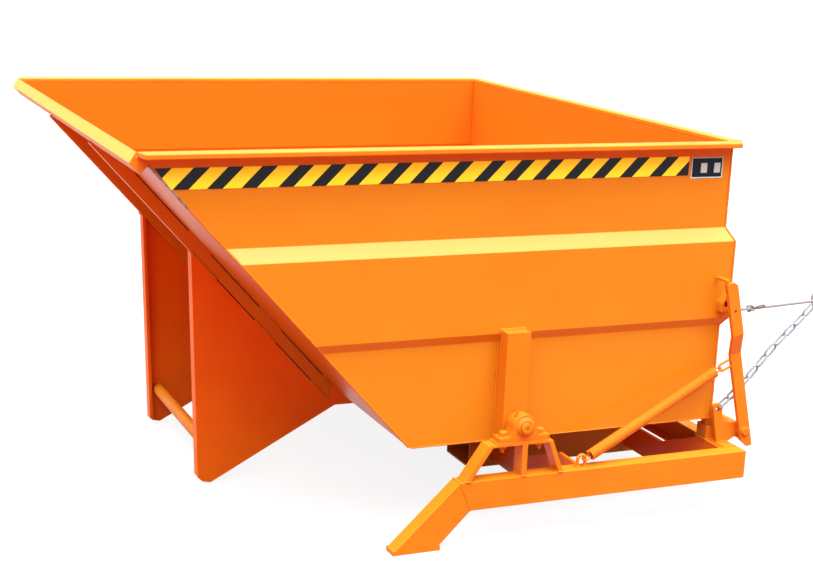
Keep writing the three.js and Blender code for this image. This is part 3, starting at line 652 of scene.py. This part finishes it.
# Shapes of the model that stay: their broken edges in millimetres and steps, their enamel and nodes
KEPT = {
    "sheets": (0.9, 2, SHEET_ENAMEL, (
        "rear_wall", "floor_plate", "slope_plate", "side_wall_left", "side_wall_right",
    )),
    "lip": (3.0, 3, LIP_ENAMEL, ("lip_bar",)),
    "rims": (3.0, 3, BAR_ENAMEL, ("rim_rear", "rim_rail_left", "rim_rail_right")),
    "bars": (1.6, 2, BAR_ENAMEL, (
        "rear_cross_member",
        "fork_pocket_left", "fork_pocket_right", "bearing_slab_left", "bearing_slab_right",
        "pivot_bracket_left", "pivot_bracket_right", "rear_rest_left", "rear_rest_right",
        "trunnion_post_left", "trunnion_post_right", "front_skid_left", "front_skid_right",
        "base_rail_left", "base_rail_right", "shaft_carrier_left", "shaft_carrier_right",
        "latch_lever_left", "latch_lever_right",
        "slope_rib_left", "slope_rib_right",
    )),
    # The plates get the enamel with painted shade
    "plates": (1.0, 2, PLATE_ENAMEL_PAINTED_SHADE, (
        "leg_plate_left", "leg_plate_right", "front_cross_plate_left", "front_cross_plate_right",
        "rear_cross_plate_left", "rear_cross_plate_right",
    )),
}


def keep(node, width, segments, finish):
    """A node that keeps its shape: modifiers break its edges, and its own mesh stays as it is."""
    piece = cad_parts[node]
    weld = piece.modifiers.new("merged corners", "WELD")
    weld.merge_threshold = MERGE_REACH * MM
    flat = piece.modifiers.new("whole faces", "DECIMATE")
    flat.decimate_type = "DISSOLVE"
    flat.angle_limit = FLAT_ANGLE
    edge = piece.modifiers.new("broken edges", "BEVEL")
    edge.width = width * MM
    edge.segments = segments
    edge.limit_method = "ANGLE"
    edge.angle_limit = ROUND_ANGLE
    edge.harden_normals = True
    piece.data.materials.clear()
    piece.data.materials.append(finish)


for width, segments, finish, nodes in KEPT.values():
    for node in nodes:
        keep(node, width, segments, finish)

for node in ("warning_tape_left", "warning_tape_right"):
    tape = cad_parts[node]
    tape.data.materials.clear()
    tape.data.materials.append(TAPE)


# Turned shafts and the tube between the legs
CENTRE_DRILL = 3
DRILL_DEPTH = 6
LEG_TUBE_RADIUS = 17
LATCH_SHAFT_RADIUS = 15
BOSS_RADIUS = 12.5
BOSS_PROUD = 6


def make_shafts():
    inner, outer = SHAFT_ENDS
    for side, sign in SIDES:
        start, end = on_pivot(sign * inner), on_pivot(sign * outer)
        pin = rod(f"trunnion_pin_{side}", start, end, SHAFT_RADIUS, TURNED)
        deep = on_pivot(sign * (outer - DRILL_DEPTH))
        beyond = on_pivot(sign * (outer + DRILL_DEPTH))
        drilled(pin, rod("centre_drill", deep, beyond, CENTRE_DRILL, sides=24))
        rounded(pin, width=1.8)
        dress(pin, "box", BAR_ENAMEL, stands_for=(f"trunnion_shaft_{side}",))
    reach, height = LEG_TUBE
    start, end = at(reach, -LEG_INNER, height), at(reach, LEG_INNER, height)
    tube = rounded(rod("tube_between_legs", start, end, LEG_TUBE_RADIUS, TURNED), width=0.8)
    dress(tube, "box", BAR_ENAMEL, stands_for=("leg_cross_tube",))
    inner, outer = LEVER_FACES
    shaft = rod("latch_cross_shaft", on_latch(-inner), on_latch(inner), LATCH_SHAFT_RADIUS, TURNED)
    rounded(shaft, width=0.8)
    dress(shaft, "latch", BAR_ENAMEL, stands_for=("latch_shaft",))
    for side, sign in SIDES:
        start, end = on_latch(sign * (outer - 1)), on_latch(sign * (outer + BOSS_PROUD))
        boss = rounded(rod(f"lever_boss_{side}", start, end, BOSS_RADIUS), width=3, segments=4)
        dress(boss, "latch", BAR_ENAMEL)


make_shafts()


# Bearing blocks: a casting with a domed cap and a grease nipple, and two rings round the pin
def reshaped(node, name):
    """A copy of a node with its corners merged and its faces whole, to be reshaped."""
    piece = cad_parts[node].copy()
    piece.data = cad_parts[node].data.copy()
    for key in list(piece.keys()):
        del piece[key]
    piece.parent = None
    piece.modifiers.clear()
    piece.name = name
    bpy.context.scene.collection.objects.link(piece)
    alone(piece)
    bpy.ops.object.mode_set(mode="EDIT")
    bpy.ops.mesh.select_all(action="SELECT")
    bpy.ops.mesh.customdata_custom_splitnormals_clear()
    bpy.ops.mesh.remove_doubles(threshold=MERGE_REACH * MM)
    bpy.ops.mesh.dissolve_limited(angle_limit=FLAT_ANGLE)
    bpy.ops.object.mode_set(mode="OBJECT")
    return piece


CAP_RADIUS = 29
CAP_CREST = 19
CAP_DEPTH = 9
CAP_SUNK = 2
CAP_BORE = 15.6
CAP_BORE_ENDS = (880, 930)
INNER_RING = 20
INNER_RING_ENDS = (860, 900)
RING_BORE = 15.4
RING_BORE_ENDS = (850, 930)
NIPPLE = (251, 326)
NIPPLE_PARTS = (("hex", 0, 6, 5.5, HEXAGON), ("neck", 0, 11, 2.6, 20), ("head", 9, 13, 3.6, 20))


def pivot_rod(name, sign, ends, radius):
    """A round piece on the box's turning line, between two distances across."""
    start, end = (on_pivot(sign * across) for across in ends)
    return rod(name, start, end, radius, TURNED)


def make_cap(sign):
    """The domed end of the casting, which closes over the bearing round the pin."""
    middle = on_pivot(sign * (BLOCK_OUTER - CAP_SUNK + CAP_DEPTH / 2))
    turn = (sign * ALONG_Y).to_track_quat("Z", "Y").to_euler()
    bpy.ops.object.select_all(action="DESELECT")
    bpy.ops.mesh.primitive_cone_add(
        vertices=64, radius1=CAP_RADIUS * MM, radius2=CAP_CREST * MM, depth=CAP_DEPTH * MM,
        location=middle, rotation=turn,
    )
    cap = drilled(settled("cap"), pivot_rod("bore", sign, CAP_BORE_ENDS, CAP_BORE))
    return rounded(cap, width=2.2, segments=4, angle=math.radians(20))


def make_nipple(sign):
    reach, foot = NIPPLE
    across = sign * BLOCK_MIDDLE
    parts = []
    for part, low, high, radius, sides in NIPPLE_PARTS:
        start, end = at(reach, across, foot + low), at(reach, across, foot + high)
        parts.append(rounded(rod(f"nipple_{part}", start, end, radius, sides), width=0.7))
    return parts


def make_bearings():
    for side, sign in SIDES:
        housing = reshaped(f"bearing_housing_{side}", f"cast_bearing_block_{side}")
        rounded(housing, width=3.2, segments=4, angle=math.radians(40))
        block = joined(f"cast_bearing_block_{side}", [housing, make_cap(sign), *make_nipple(sign)])
        dress(block, "base", CAST_ENAMEL, stands_for=(f"bearing_housing_{side}",))
        ring = reshaped(f"bearing_insert_{side}", f"bearing_ring_{side}")
        inner_ring = pivot_rod("inner_ring", sign, INNER_RING_ENDS, INNER_RING)
        drilled(inner_ring, pivot_rod("hole", sign, RING_BORE_ENDS, RING_BORE))
        rounded(inner_ring, width=1.5, segments=3)
        rounded(ring, width=1.2)
        rings = joined(f"bearing_ring_{side}", [ring, inner_ring])
        dress(rings, "base", BAR_ENAMEL, stands_for=(f"bearing_insert_{side}",))


make_bearings()

# Bolts through each block and its bracket
WASHER_RADIUS = 12
WASHER_HEIGHT = 2.2
HEAD_RADIUS = 11
HEAD_TOP = 12.5
NUT_HEIGHT = 10.5
THREAD_RADIUS = 6
THREAD_STEPS = 22
THREAD_ROOT = 0.9
THREAD_BELOW = 20


def make_bolt(name, reach, across):
    """A hexagon bolt through the block and its bracket, with washer, nut and thread end."""
    def spot(height):
        return at(reach, across, height)

    seat = BLOCK_TOP + WASHER_HEIGHT
    nut_bottom = BRACKET_UNDERSIDE - NUT_HEIGHT
    washer = rod("washer", spot(BLOCK_TOP), spot(seat), WASHER_RADIUS, sides=32)
    head = rod("head", spot(seat), spot(BLOCK_TOP + HEAD_TOP), HEAD_RADIUS, HEXAGON)
    nut = rod("nut", spot(nut_bottom), spot(BRACKET_UNDERSIDE), HEAD_RADIUS, HEXAGON)
    rounded(washer, width=0.6)
    rounded(head, width=1.4, segments=3)
    rounded(nut, width=1.4, segments=3)
    swell = [1 if place % 2 else THREAD_ROOT for place in range(THREAD_STEPS + 1)]
    thread = [spot(BRACKET_UNDERSIDE - THREAD_BELOW + place) for place in range(THREAD_STEPS + 1)]
    end = bent_wire("thread", thread, THREAD_RADIUS, swell=swell, fineness=3)
    return joined(name, [head, washer, nut, end])


for side, sign in SIDES:
    for place, reach in zip(("front", "rear"), BOLT_REACHES):
        bolt = make_bolt(f"block_bolt_{side}_{place}", reach, sign * BLOCK_MIDDLE)
        dress(bolt, "base", BAR_ENAMEL, stands_for=(f"bearing_bolt_{side}_{place}",))


# Catch lugs: short lengths of flat bar bent to a loop, which the levers' fingers catch
LUG_HOLLOW = (896.5, 563)
LUG_HOLLOW_RADIUS = 10
LUG_HOLLOW_ENDS = (805, 835)


def make_lugs():
    reach, height = LUG_HOLLOW
    for side, sign in SIDES:
        lug = reshaped(f"catch_lug_{side}", f"catch_loop_{side}")
        start, end = (at(reach, sign * across, height) for across in LUG_HOLLOW_ENDS)
        drilled(lug, rod("hollow", start, end, LUG_HOLLOW_RADIUS))
        rounded(lug, width=2.2, segments=3)
        dress(lug, "box", BAR_ENAMEL, stands_for=(f"catch_lug_{side}",))


make_lugs()


# Return springs: close-wound wire with a hook at each end, between a staple and the lever's eye
STAPLE_BEND = 11
STAPLE_LEG = 20
STAPLE_ROD = 4.5
STAPLE_STEPS = 16
EYE_ROD = 3.5
SPRING_WIRE = 2.05
SPRING_RADIUS = 12.9
CURL_PITCH = 2.02
CURL_STEPS = 12
HOOK_RADIUS = 10.5
HOOK_SHARE = 0.92
HOOK_STEPS = 32
LEVER_EYE = (886.5, 832, 385.1)


def make_staple(side, sign):
    across = sign * STAPLE_SIDE
    points = [at(STAPLE_REACH - STAPLE_BEND, across, RAIL_TOP - 1)]
    for place in range(STAPLE_STEPS + 1):
        angle = math.pi * (1 - place / STAPLE_STEPS)
        reach = STAPLE_REACH + STAPLE_BEND * math.cos(angle)
        points.append(at(reach, across, RAIL_TOP + STAPLE_LEG + STAPLE_BEND * math.sin(angle)))
    points.append(at(STAPLE_REACH + STAPLE_BEND, across, RAIL_TOP - 1))
    staple = bent_wire(f"spring_staple_{side}", points, STAPLE_ROD, fineness=4)
    dress(staple, "base", BAR_ENAMEL, stands_for=(f"spring_eye_{side}",))


def hook(ring, away, side_way):
    """Most of a turn of wire round a ring's middle, starting on the side that is away."""
    turns = [math.tau * HOOK_SHARE * place / HOOK_STEPS for place in range(HOOK_STEPS + 1)]
    return [ring + HOOK_RADIUS * MM * (away * math.cos(turn) + side_way * math.sin(turn)) for turn in turns]


def make_spring(side, sign):
    front = at(STAPLE_REACH + STAPLE_BEND, sign * STAPLE_SIDE, RAIL_TOP + STAPLE_LEG)
    rear = at(LEVER_EYE[0], sign * LEVER_EYE[1], LEVER_EYE[2])
    ahead = (rear - front).normalized()
    side_way = (ALONG_Y - ahead * ALONG_Y.dot(ahead)).normalized()
    up = ahead.cross(side_way)
    front_ring = front + ahead * (HOOK_RADIUS - SPRING_WIRE - STAPLE_ROD) * MM
    rear_ring = rear - ahead * (HOOK_RADIUS - SPRING_WIRE - EYE_ROD) * MM
    start = front_ring + ahead * (HOOK_RADIUS + SPRING_WIRE) * MM
    end = rear_ring - ahead * (HOOK_RADIUS + SPRING_WIRE) * MM
    curls = round((end - start).length / (CURL_PITCH * SPRING_WIRE * MM))
    points = hook(front_ring, ahead, side_way)
    points.reverse()
    for place in range(curls * CURL_STEPS + 1):
        angle = math.tau * place / CURL_STEPS
        middle = start.lerp(end, place / (curls * CURL_STEPS))
        points.append(middle + SPRING_RADIUS * MM * (up * math.cos(angle) + side_way * math.sin(angle)))
    points += hook(rear_ring, -ahead, side_way)
    spring = bent_wire(f"wound_spring_{side}", points, SPRING_WIRE, fineness=1)
    spring.data.materials.clear()
    spring.data.materials.append(BAR_ENAMEL)
    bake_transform(spring)
    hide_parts(f"return_spring_{side}")


for side, sign in SIDES:
    make_staple(side, sign)
    make_spring(side, sign)


# Blank label on the left wall: a dark plate with a pale border and two bare fields
LABEL_ENDS = (774, 872)
LABEL_HEIGHTS = (899, 955)
LABEL_BORDER = 3.2
LABEL_STEP = 0.3
FIELD_STARTS = (("front", 804), ("rear", 845))
FIELD_WIDTH = 19
FIELD_HEIGHTS = (913, 939)


def make_label():
    low = at(LABEL_ENDS[0], LABEL_FACE - 1, LABEL_HEIGHTS[0])
    high = at(LABEL_ENDS[1], LABEL_FACE, LABEL_HEIGHTS[1])
    plate = bar("blank_label", low, high)
    dress(plate, "box", PALE_FILM, ("label_plate",))
    plate.data.materials.append(DARK_FILM)
    alone(plate)
    bpy.ops.object.mode_set(mode="EDIT")
    bpy.ops.mesh.select_all(action="DESELECT")
    bpy.ops.object.mode_set(mode="OBJECT")
    for face in plate.data.polygons:
        face.select = face.normal.y < -0.9
    bpy.ops.object.mode_set(mode="EDIT")
    bpy.ops.mesh.inset(thickness=LABEL_BORDER * MM, depth=-LABEL_STEP * MM)
    plate.active_material_index = 1
    bpy.ops.object.material_slot_assign()
    bpy.ops.object.mode_set(mode="OBJECT")
    bottom, top = FIELD_HEIGHTS
    for name, start in FIELD_STARTS:
        low, high = at(start, LABEL_FACE - 1, bottom), at(start + FIELD_WIDTH, LABEL_FACE - 0.5, top)
        field = rounded(bar(f"label_field_{name}", low, high), width=0.2)
        dress(field, "box", PALE_FILM)


make_label()


# Weld beads: their usual radii, and scales a few millimetres apart that are low and high in turn
SEAM = 3
FINE = 2.6
STITCH = 4
RIPPLE = 3.5
SCALE_LOW = 0.86
SCALE_HIGH = 1.08
SCALE_CHANCE = 0.18
BEAD_END = 0.5
WANDER = 0.5
WANDER_SCALE = 90
CHANCE_SCALE = 60
WANDER_SEED = 12
noise.seed_set(WANDER_SEED)


def bead(points, radius, closed=False):
    """A weld bead along points, which wanders slightly."""
    route = list(points) + ([points[0]] if closed else [])
    fine = []
    for start, end in zip(route, route[1:]):
        steps = max(1, round((end - start).length / (RIPPLE * MM / 2)))
        fine += [start.lerp(end, place / steps) for place in range(steps)]
    fine.append(route[-1])
    wandered = [point + noise.noise_vector(point * WANDER_SCALE) * WANDER * MM for point in fine]
    swell = [
        (SCALE_LOW if place % 2 else SCALE_HIGH) * (1 + SCALE_CHANCE * noise.noise(point * CHANCE_SCALE))
        for place, point in enumerate(fine)
    ]
    swell[0] = swell[-1] = BEAD_END
    return bent_wire("bead", wandered, radius, swell=swell, fineness=1)


def on_side(sign, places):
    """The same places on the left or the right."""
    return [at(reach, sign * across, height) for reach, across, height in places]


def slope_bead(high, low, across, out, radius):
    """A straight bead along the slope."""
    return bead([on_slope(high, across, out), on_slope(low, across, out)], radius)


def slope_reach(height):
    return -(height - BOX_BOTTOM) * SLOPE_REACH / SLOPE_RISE


# Stitches and the open joints between them, measured up the slope
ROOT_STITCHES = ((975, 856), (638, 552), (346, 253), (64, 34))
LEG_STITCHES = ((598, 490), (325, 241), (77, 34))
ROOT_JOINTS = ((851, 640), (550, 348), (251, 66))
LEG_JOINTS = ((488, 327), (239, 79))
# The other beads, as places on the right side
FLOOR_BEAD = ((4, 794, BOX_BOTTOM), (898, 794, BOX_BOTTOM))
POST_BEAD = (
    (232, 796, 238), (232, 796, 499), (232, 808, 521), (232, 808, 531),
    (300, 808, 531), (300, 808, 521), (300, 796, 499), (300, 796, 238),
)
LUG_BEAD = ((877, 808, 541), (916, 808, 541), (916, 808, 567), (897, 808, 589), (877, 808, 567))
RIM_BEAD = ((896, 781, 995.5), (929, 781, 995.5))
BRACKET_FEET = ((106, 122), (262, 277), (368, 384))
FOOT_ENDS = (862, 904)
MITRE_BEAD = (
    (RAIL_FRONT, RAIL_OUTER, RAIL_TOP), (RAIL_FRONT + MITRE_RUN, RAIL_OUTER, RAIL_BOTTOM),
    (RAIL_FRONT + MITRE_RUN, RAIL_INNER, RAIL_BOTTOM), (RAIL_FRONT, RAIL_INNER, RAIL_TOP),
)
MEMBER_BEAD = ((906, RAIL_INNER, RAIL_TOP), (945, RAIL_INNER, RAIL_TOP))
ON_RAIL = RAIL_TOP + 0.5
REST_BEAD = ((889, 747, ON_RAIL), (935, 747, ON_RAIL), (935, 793, ON_RAIL), (889, 793, ON_RAIL))
CARRIER_FACES = (805.5, 818.5)
CARRIER_ENDS = (910, 945)
CROSS_PLATE_FACES = (444.5, 455.5, 889.5, 900.5)
SCUFF_SIDE = 784
SCUFF_HEIGHTS = (966, 915, 860)


def box_welds(sign):
    beads = [
        bead([at(slope_reach(z) - 0.5, sign * (y - 1.5), z) for y, z in SIDE_PROFILE], SEAM),
        bead([at(x - 0.5, sign * (y - 0.5), z) for (x, z), (y, _) in zip(REAR_PROFILE, SIDE_PROFILE)], FINE),
        bead(on_side(sign, FLOOR_BEAD), radius=2.2),
    ]
    for across in (LEG_OUTER, LEG_OUTER - RIB_DEPTH):
        beads += [slope_bead(high, low, sign * across, 1.5, STITCH) for high, low in ROOT_STITCHES]
    beads += [slope_bead(high, low, sign * LEG_OUTER, RIB_DEPTH, STITCH) for high, low in LEG_STITCHES]
    beads.append(bead(on_side(sign, POST_BEAD), radius=3.2))
    beads.append(bead(on_side(sign, LUG_BEAD), radius=2.4, closed=True))
    tube_end = at(LEG_TUBE[0], sign * LEG_INNER, LEG_TUBE[1])
    beads.append(bead(circle(tube_end, ALONG_X, ALONG_Z, LEG_TUBE_RADIUS + 0.5), SEAM, closed=True))
    beads.append(bead(on_side(sign, RIM_BEAD), radius=1.8))
    return beads


def open_joints(name, sign):
    """The dark joint that shows between the stitches, along the rib's root and its lower edge: beads of
    painted shadow and dust.
    """
    root = sign * (LEG_OUTER + 0.3)
    beads = [slope_bead(high, low, root, 0.4, FINE) for high, low in ROOT_JOINTS]
    beads += [slope_bead(high, low, sign * LEG_OUTER, RIB_DEPTH, radius=1.7) for high, low in LEG_JOINTS]
    return joined(name, beads)


def base_welds(sign):
    beads = []
    inner, outer = FOOT_ENDS
    for foot in BRACKET_FEET:
        for reach in foot:
            across_rail = on_side(sign, ((reach, inner, RAIL_TOP), (reach, outer, RAIL_TOP)))
            beads.append(bead(across_rail, radius=3.6))
    for foot in BRACKET_FEET:
        beads.append(bead(on_side(sign, [(reach, RAIL_OUTER, RAIL_TOP + 1) for reach in foot]), SEAM))
    beads.append(bead(on_side(sign, MITRE_BEAD), radius=1.1, closed=True))
    for leg in (-STAPLE_BEND, STAPLE_BEND):
        foot = at(STAPLE_REACH + leg, sign * STAPLE_SIDE, ON_RAIL)
        beads.append(bead(circle(foot, ALONG_X, ALONG_Y, STAPLE_ROD + 1.1, 16), FINE, closed=True))
    beads.append(bead(on_side(sign, MEMBER_BEAD), FINE))
    beads.append(bead(on_side(sign, REST_BEAD), FINE, closed=True))
    for across in CARRIER_FACES:
        beads.append(bead(on_side(sign, [(reach, across, ON_RAIL) for reach in CARRIER_ENDS]), SEAM))
    for reach in CROSS_PLATE_FACES:
        upright = [(reach, RAIL_INNER - 0.5, height) for height in (RAIL_BOTTOM + 2, RAIL_TOP - 2)]
        beads.append(bead(on_side(sign, upright), FINE))
    return beads


def latch_welds(sign):
    inner, outer = LEVER_FACES
    return [
        bead(circle(on_latch(sign * (inner - 0.5)), ALONG_X, ALONG_Z, 16), SEAM, closed=True),
        bead(circle(on_latch(sign * (outer + 0.5)), ALONG_X, ALONG_Z, 13), radius=1.8, closed=True),
    ]


for side, sign in SIDES:
    for body, welds in (("box", box_welds), ("base", base_welds), ("latch", latch_welds)):
        dress(joined(f"{body}_welds_{side}", welds(sign)), body, WELD_ENAMEL)
    dress(open_joints(f"open_joints_{side}", sign), "box", SEAM_DIRT_AND_PAINTED_SHADOW)
    edge = [at(slope_reach(height) - 1, sign * SCUFF_SIDE, height) for height in SCUFF_HEIGHTS]
    scuff = bead(edge, radius=3.1)
    scuff.name = f"scuffed_edge_{side}"
    dress(scuff, "box", SCUFFED)


# Floor, lamp and world
WHITE = linear("ffffff")
FLOOR_SIZE = 60
FLOOR_DROP = 0.5
FLOOR_SHADE = 0.13
FLOOR_BOUNCE = linear("953c16")
SKY_SHAPE = 2.5
SKY_ZENITH = 7.4
SKY_HORIZON = 0.01
LAMP_PLACE = Vector((-0.5, -2.0, 6))
LAMP_AIM = Vector((0, 0, 0.5))
LAMP_STRENGTH = 2.2
LAMP_SPREAD = math.radians(60)


def rays_that_see(tree, *kinds):
    """One for rays of these kinds, and nought for the others."""
    rays = add(tree, "ShaderNodeLightPath")
    seen = rays.outputs[kinds[0]]
    for kind in kinds[1:]:
        seen = add(
            tree, "ShaderNodeMath", None, {0: seen, 1: rays.outputs[kind]}, operation="MAXIMUM"
        ).outputs[0]
    return seen


def make_floor():
    """A white floor with a faint shadow, which throws only a dim warm light back on the hopper."""
    bpy.ops.object.select_all(action="DESELECT")
    bpy.ops.mesh.primitive_plane_add(size=FLOOR_SIZE, location=(0, 0, -FLOOR_DROP * MM))
    floor = bpy.context.active_object
    floor.name = "floor"
    material = bpy.data.materials.new("pale_floor")
    material.use_nodes = True
    tree = material.node_tree
    output = tree.nodes["Material Output"]
    tree.nodes.remove(tree.nodes["Principled BSDF"])
    glow = add(tree, "ShaderNodeEmission", {"Color": WHITE, "Strength": 1})
    pale = add(tree, "ShaderNodeBsdfDiffuse", {"Color": WHITE})
    white = add(tree, "ShaderNodeMixShader", {0: FLOOR_SHADE}, {1: glow.outputs[0], 2: pale.outputs[0]})
    dim = add(tree, "ShaderNodeBsdfDiffuse", {"Color": FLOOR_BOUNCE})
    seen = rays_that_see(tree, "Is Camera Ray", "Is Glossy Ray")
    both = add(tree, "ShaderNodeMixShader", None, {0: seen, 1: dim.outputs[0], 2: white.outputs[0]})
    tree.links.new(both.outputs[0], output.inputs["Surface"])
    floor.data.materials.append(material)


def make_world():
    """A sky that is bright overhead and lights the hopper, behind the plain white that is seen."""
    world = bpy.data.worlds.new("studio")
    world.use_nodes = True
    bpy.context.scene.world = world
    tree = world.node_tree
    output = tree.nodes["World Output"]
    surround = tree.nodes["Background"]
    surround.inputs["Color"].default_value = WHITE
    places = add(tree, "ShaderNodeTexCoord")
    apart = add(tree, "ShaderNodeSeparateXYZ", None, {"Vector": places.outputs["Generated"]})
    height = add(tree, "ShaderNodeMath", {1: 0}, {0: apart.outputs["Z"]}, operation="MAXIMUM")
    rise = add(tree, "ShaderNodeMath", {1: SKY_SHAPE}, {0: height.outputs[0]}, operation="POWER")
    level = add(
        tree, "ShaderNodeMath", {1: SKY_ZENITH, 2: SKY_HORIZON}, {0: rise.outputs[0]},
        operation="MULTIPLY_ADD",
    )
    tree.links.new(level.outputs[0], surround.inputs["Strength"])
    white = add(tree, "ShaderNodeBackground", {"Color": WHITE, "Strength": 1})
    seen = rays_that_see(tree, "Is Camera Ray", "Is Transmission Ray", "Is Glossy Ray")
    both = add(tree, "ShaderNodeMixShader", None, {0: seen, 1: surround.outputs[0], 2: white.outputs[0]})
    tree.links.new(both.outputs[0], output.inputs["Surface"])


def make_lamp():
    data = bpy.data.lights.new("overhead_lamp", "SUN")
    data.energy = LAMP_STRENGTH
    data.angle = LAMP_SPREAD
    lamp = bpy.data.objects.new("overhead_lamp", data)
    bpy.context.scene.collection.objects.link(lamp)
    turn = (LAMP_AIM - LAMP_PLACE).to_track_quat("-Z", "Y").to_matrix().to_4x4()
    lamp.matrix_world = Matrix.Translation(LAMP_PLACE) @ turn


make_floor()
make_world()
make_lamp()
bpy.context.scene.view_settings.view_transform = "Standard"
